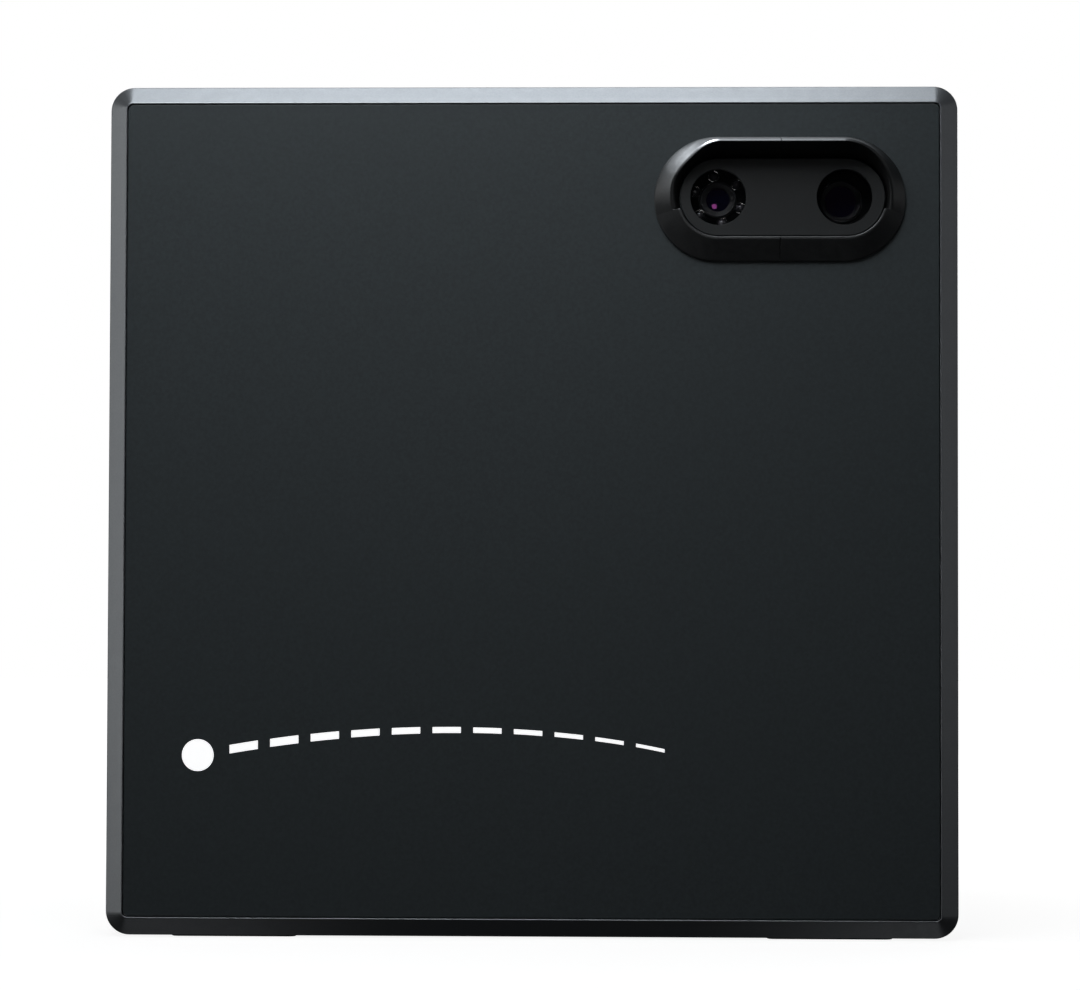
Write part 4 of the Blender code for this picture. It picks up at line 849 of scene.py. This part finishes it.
def make_power_jack():
    x, width, height = JACKS["power_jack"]
    z = JACK_BASE_Z + height / 2
    body = slab(rounded_rectangle(width, height, 1, 4), (x, z), 26, JACK_MOUTH, 0.2)
    body = carved(body, [hole(3.2, (x, z), 28, 40, sides=40)])
    piece("power_jack_body", body, "moulding", ["power_jack"])
    profile = [(AXIS_RADIUS, 36.5), (0.7, 36.4), (1.0, 36.0), (1.0, 27), (AXIS_RADIUS, 27)]
    contact = turned(profile, (x, z), sides=24)
    piece("power_contact", contact, "nickel")


# ---------------------------------------------------------------- leg

def make_leg_bracket():
    """A base plate with two ears that carry the leg, and the pin through them."""
    hinge = (LEG_Y, LEG_Z)
    floor = TUB_FLOOR + GAP
    base = block((-31.2, floor, LEG_Z - 5), (31.2, floor + 1.3, LEG_Z + 14))
    outline = [(floor - LEG_Y, 5), (floor - LEG_Y, -5), *arc((0, 0), 5, -90, 90, 20)]
    ears = []
    bores = []
    for x in (-EAR_X, EAR_X):
        ears.append(slab(outline, hinge, x - 2, x + 2, 0, "X"))
        bores.append(hole(HINGE_BORE, hinge, x - 4, x + 4, "X", 40))
    mesh = eased(carved(carved(base, ears, "UNION"), bores), 0.25)
    piece("leg_bracket_bent", mesh, "black_steel", ["leg_bracket"])
    head = [(AXIS_RADIUS, 32.7), (3.8, 32.7), (3.8, 31.5), (2.5, 31.5)]
    end = [(2.5, -32.7), (2.0, -33.2), (AXIS_RADIUS, -33.2)]
    pin = turned(fillet(head + end, 0.3, 3), hinge, "X", 40)
    piece("leg_pin_rod", pin, "steel", ["leg_pin"])


def make_leg():
    """A leg that tapers to its fork, pocketed above and below."""
    hinge = (LEG_Y, LEG_Z)
    place = (0, LEG_Y)
    tip_y = LEG_Y + LEG_REACH
    outline = [
        (LEG_HALF_WIDTH, 0),
        (LEG_HALF_WIDTH, LEG_TAPER),
        *arc((0, LEG_REACH), 11, 8, 172, 28),
        (-LEG_HALF_WIDTH, LEG_TAPER),
        (-LEG_HALF_WIDTH, 0),
    ]
    mesh = slab(outline, place, LEG_Z - 5, LEG_Z + 5, 0, "Z")
    mesh = carved(mesh, [hole(5, hinge, -LEG_HALF_WIDTH, LEG_HALF_WIDTH, "X", 48)], "UNION")
    pocket = [(17, 20), *arc((0, 70), 7, 15, 165, 14), (-17, 20)]
    fork = WHEEL_HALF + GAP
    cutters = [
        hole(HINGE_BORE, hinge, -30, 30, "X", 40),
        block((-20, tip_y - 13.6, LEG_Z - fork), (20, tip_y + 20, LEG_Z + fork)),
        hole(SCREW_BORE, (0, tip_y), 0, 24, "Z", 40),
        slab(pocket, place, LEG_Z + 3.4, LEG_Z + 8, 0, "Z"),
        slab(pocket, place, LEG_Z - 8, LEG_Z - 3.4, 0, "Z"),
    ]
    mesh = eased(carved(mesh, cutters), 0.5, 3)
    piece("rear_leg_casting", mesh, "leg", ["rear_leg"], body="leg")


def wheel_outline():
    """A thumb wheel's rim, with fine waves for grip."""
    notches = 36
    rim = []
    for index in range(notches * 4):
        share = index / (notches * 4)
        radius = 12.6 + 0.25 * math.cos(2 * math.pi * notches * share)
        rim.append((radius * math.cos(2 * math.pi * share), radius * math.sin(2 * math.pi * share)))
    return rim


def make_leveling():
    """The thumb wheel, the levelling screw with its thread, and the rubber foot under it."""
    tip = (0, LEG_Y + LEG_REACH)
    wheel = slab(wheel_outline(), tip, LEG_Z - WHEEL_HALF, LEG_Z + WHEEL_HALF, 0.5, "Z")
    wheel = carved(wheel, [hole(SCREW_BORE, tip, 0, 24, "Z", 40)])
    name = "leveling_wheel"
    piece(f"{name}_knurled", wheel, "moulding", [name], body=name)
    thread = [(AXIS_RADIUS, 16.2), (2.4, 16.2), (2.9, 15.7)]
    pitch = 0.7
    level = 15.5
    while level > 5.6:
        thread += [(2.98, level), (2.62, level - pitch / 2)]
        level -= pitch
    thread += [(2.9, 4.4), (6, 4.2), (6, 2.3), (AXIS_RADIUS, 2.3)]
    body = "leveling_foot"
    screw = turned(thread, tip, "Z")
    piece("leveling_screw_threaded", screw, "steel", ["leveling_screw"], body=body)
    cup = [(AXIS_RADIUS, 2.0), (6.3, 2.0), (6.3, 4.5), (8.2, 4.5), (9.0, 3.4), (9.0, 0), (AXIS_RADIUS, 0)]
    pad = turned(fillet(cup, 0.4, 3), tip, "Z")
    piece("leveling_foot_cup", pad, "rubber", ["leveling_foot_pad"], body=body)


# ---------------------------------------------------------------- printed mark

def flight(share):
    """A point on the printed ball flight, as (x, z)."""
    return -117 + 172 * share, 64 + 34 * share * (1 - share) ** 0.9


def make_print():
    """A plain ball flight printed on the cover: a ball, and dashes along its path."""
    front = 0.12
    back = 0.25
    marks = [hole(5.6, flight(0), front, back)]
    for index in range(11):
        start = 0.065 + 0.083 * index
        width = 3.0 - 0.18 * index
        path = [flight(start + 0.058 * step / 8) for step in range(9)]
        upper = [(x, z + width / 2) for x, z in path]
        lower = [(x, z - width / 2) for x, z in reversed(path)]
        marks.append(slab(upper + lower, (0, 0), front, back, 0))
    piece("printed_flight_mark", joined(marks), "print_and_painted_glow")


# ---------------------------------------------------------------- carried-over CAD nodes

CAD_LOOKS = {
    "ball_radar_board": "board",
    "battery_frame": "moulding",
    "battery_lead": "wire",
    "battery_pack": "battery",
    "camera_bracket": "shield",
    "camera_ribbon": "ribbon",
    "camera_sensor_board": "board",
    "club_radar_board": "board",
    "control_board": "board",
    "heat_spreader": "shield",
    "main_board": "board",
    "port_board": "board",
    "radar_shield": "shield",
    "radome_gasket": "rubber",
    "rear_gasket": "rubber",
    "status_display": "display",
    "tripod_insert": "brass",
    "wireless_antenna": "board",
}


def finish_cad_nodes():
    for node, look in CAD_LOOKS.items():
        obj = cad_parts[node]
        obj.material_slots[0].material = MATERIALS[look]


# ---------------------------------------------------------------- studio

def make_world():
    """A dim surrounding, which is plain white where the camera looks straight at it."""
    world = bpy.data.worlds.new("studio")
    bpy.context.scene.world = world
    world.use_nodes = True
    tree = world.node_tree
    dim = tree.nodes["Background"]
    dim.inputs["Color"].default_value = (0.9, 0.95, 1.0, 1)
    dim.inputs["Strength"].default_value = 0.012
    white = tree.nodes.new("ShaderNodeBackground")
    white.inputs["Color"].default_value = (1, 1, 1, 1)
    path = tree.nodes.new("ShaderNodeLightPath")
    mix = tree.nodes.new("ShaderNodeMixShader")
    tree.links.new(path.outputs["Is Camera Ray"], mix.inputs[0])
    tree.links.new(dim.outputs[0], mix.inputs[1])
    tree.links.new(white.outputs[0], mix.inputs[2])
    tree.links.new(mix.outputs[0], tree.nodes["World Output"].inputs["Surface"])


def make_floor():
    """A pale floor that glows, a little less near the object as painted shade round it and more further
    out as painted light, and lights nothing itself.
    """
    shape = bmesh.new()
    bmesh.ops.create_grid(shape, x_segments=1, y_segments=1, size=6)
    mesh = bpy.data.meshes.new("floor")
    shape.to_mesh(mesh)
    shape.free()
    floor = bpy.data.objects.new("floor", mesh)
    bpy.context.scene.collection.objects.link(floor)
    material = bpy.data.materials.new("floor")
    material.use_nodes = True
    tree = material.node_tree
    tree.nodes.clear()
    matte = tree.nodes.new("ShaderNodeBsdfDiffuse")
    matte.inputs["Color"].default_value = (0.16, 0.16, 0.16, 1)
    place = tree.nodes.new("ShaderNodeTexCoord")
    distance = tree.nodes.new("ShaderNodeVectorMath")
    distance.operation = "LENGTH"
    tree.links.new(place.outputs["Object"], distance.inputs[0])
    # Painted shade and light: the floor's glow is 0.9 near the object and rises to 1.05 further out, where
    # the lamps fall off.
    painted_shade_falloff = tree.nodes.new("ShaderNodeMapRange")
    painted_shade_falloff.interpolation_type = "SMOOTHSTEP"
    painted_shade_falloff.inputs["From Min"].default_value = 0.12
    painted_shade_falloff.inputs["From Max"].default_value = 0.6
    painted_shade_falloff.inputs["To Min"].default_value = 0.9
    painted_shade_falloff.inputs["To Max"].default_value = 1.05
    tree.links.new(distance.outputs["Value"], painted_shade_falloff.inputs["Value"])
    glow = tree.nodes.new("ShaderNodeEmission")
    tree.links.new(painted_shade_falloff.outputs["Result"], glow.inputs["Strength"])
    both = tree.nodes.new("ShaderNodeAddShader")
    output = tree.nodes.new("ShaderNodeOutputMaterial")
    tree.links.new(matte.outputs[0], both.inputs[0])
    tree.links.new(glow.outputs[0], both.inputs[1])
    tree.links.new(both.outputs[0], output.inputs["Surface"])
    mesh.materials.append(material)
    floor.visible_diffuse = False
    floor.visible_glossy = False
    floor.visible_shadow = False


COOL = (0.93, 0.97, 1.0)


def hang(data, place, target, up_axis="Y"):
    """A light at a place, turned towards a target, which the camera doesn't see."""
    light = bpy.data.objects.new(data.name, data)
    bpy.context.scene.collection.objects.link(light)
    light.location = place
    light.rotation_mode = "QUATERNION"
    light.rotation_quaternion = (Vector(target) - Vector(place)).to_track_quat("-Z", up_axis)
    light.visible_camera = False
    return light


def add_light(name, place, target, size, power, colour=(1, 1, 1), spread=180):
    """A soft panel of a size in metres."""
    data = bpy.data.lights.new(name, "AREA")
    data.shape = "RECTANGLE" if spread == 180 else "ELLIPSE"
    data.spread = math.radians(spread)
    data.size, data.size_y = size
    data.energy = power
    data.color = colour
    hang(data, place, target)


def add_rim_light(place, target):
    """A narrow flat beam that grazes the hood's upper left and passes in front of the bezel."""
    data = bpy.data.lights.new("rim", "SPOT")
    data.energy = 190
    data.color = COOL
    data.spot_size = math.radians(1.4)
    data.spot_blend = 0.4
    data.shadow_soft_size = 0.004
    light = hang(data, place, target, "X")
    light.scale = (5, 1, 1)


def make_lights():
    middle = (0, 0, 0.15)
    hood = (0.06, -0.075, 0.265)
    add_light("overhead", (-0.06, -0.08, 1.1), (-0.06, 0, 0.3), (0.55, 0.7), 2.9, COOL)
    add_light("key", (-0.09, -0.34, 0.6), (-0.03, 0, 0.2), (0.4, 0.3), 1.7, (0.94, 0.98, 1.0))
    add_light("left", (-1.2, -0.25, 0.31), middle, (0.7, 0.9), 2.0, (1.0, 1.0, 0.98))
    add_light("right", (1.3, -0.3, 0.4), middle, (0.7, 0.9), 0.5)
    add_light("low_left", (-0.17, -0.02, -0.2), (-0.15, 0, 0), (0.12, 0.12), 0.004)
    add_light("low_right", (0.17, -0.02, -0.2), (0.15, 0, 0), (0.12, 0.12), 0.005)
    add_light("catch", (-0.05, -1.15, 0.14), hood, (0.2, 0.2), 0.12, spread=120)
    add_rim_light((-0.36, -0.079, 1.0), (0.07, -0.079, 0.275))
    add_light("behind", (0.5, 1.6, 0.9), middle, (1.2, 1.0), 12, (1.0, 0.99, 0.97))


def make_camera():
    """A long lens, a little to the right of the middle and below it."""
    data = bpy.data.cameras.new("camera")
    data.lens = 120
    data.sensor_width = 36
    camera = bpy.data.objects.new("camera", data)
    bpy.context.scene.collection.objects.link(camera)
    camera.location = (0.0414, FRONT_Y - 1.263, MIDDLE_Z * MM - 0.0411)
    camera.rotation_euler = [math.radians(angle) for angle in (92.095, -0.158, 1.733)]
    data.clip_start = 0.01
    bpy.context.scene.camera = camera


def make_object():
    make_bezel()
    make_radome()
    make_housing_frame()
    make_rear_cover()
    make_cover_screws()
    make_feet()
    make_hood()
    make_window_plate()
    make_baffle()
    make_lens("tracking_lens", WINDOW_XS[0], 6.4, 4.6, 4.0, 0.4)
    make_lens("video_lens", VIDEO_LENS_X, 7.5, 11.0, 5.4, 0.04)
    make_led_ring()
    make_controls()
    make_heat_sink()
    make_port_door()
    make_ethernet_jack()
    make_usb_jack()
    make_power_jack()
    make_leg_bracket()
    make_leg()
    make_leveling()
    make_print()
    finish_cad_nodes()


def make_studio():
    make_world()
    make_floor()
    make_lights()
    make_camera()
    bpy.context.scene.view_settings.view_transform = "Standard"


make_object()
make_studio()
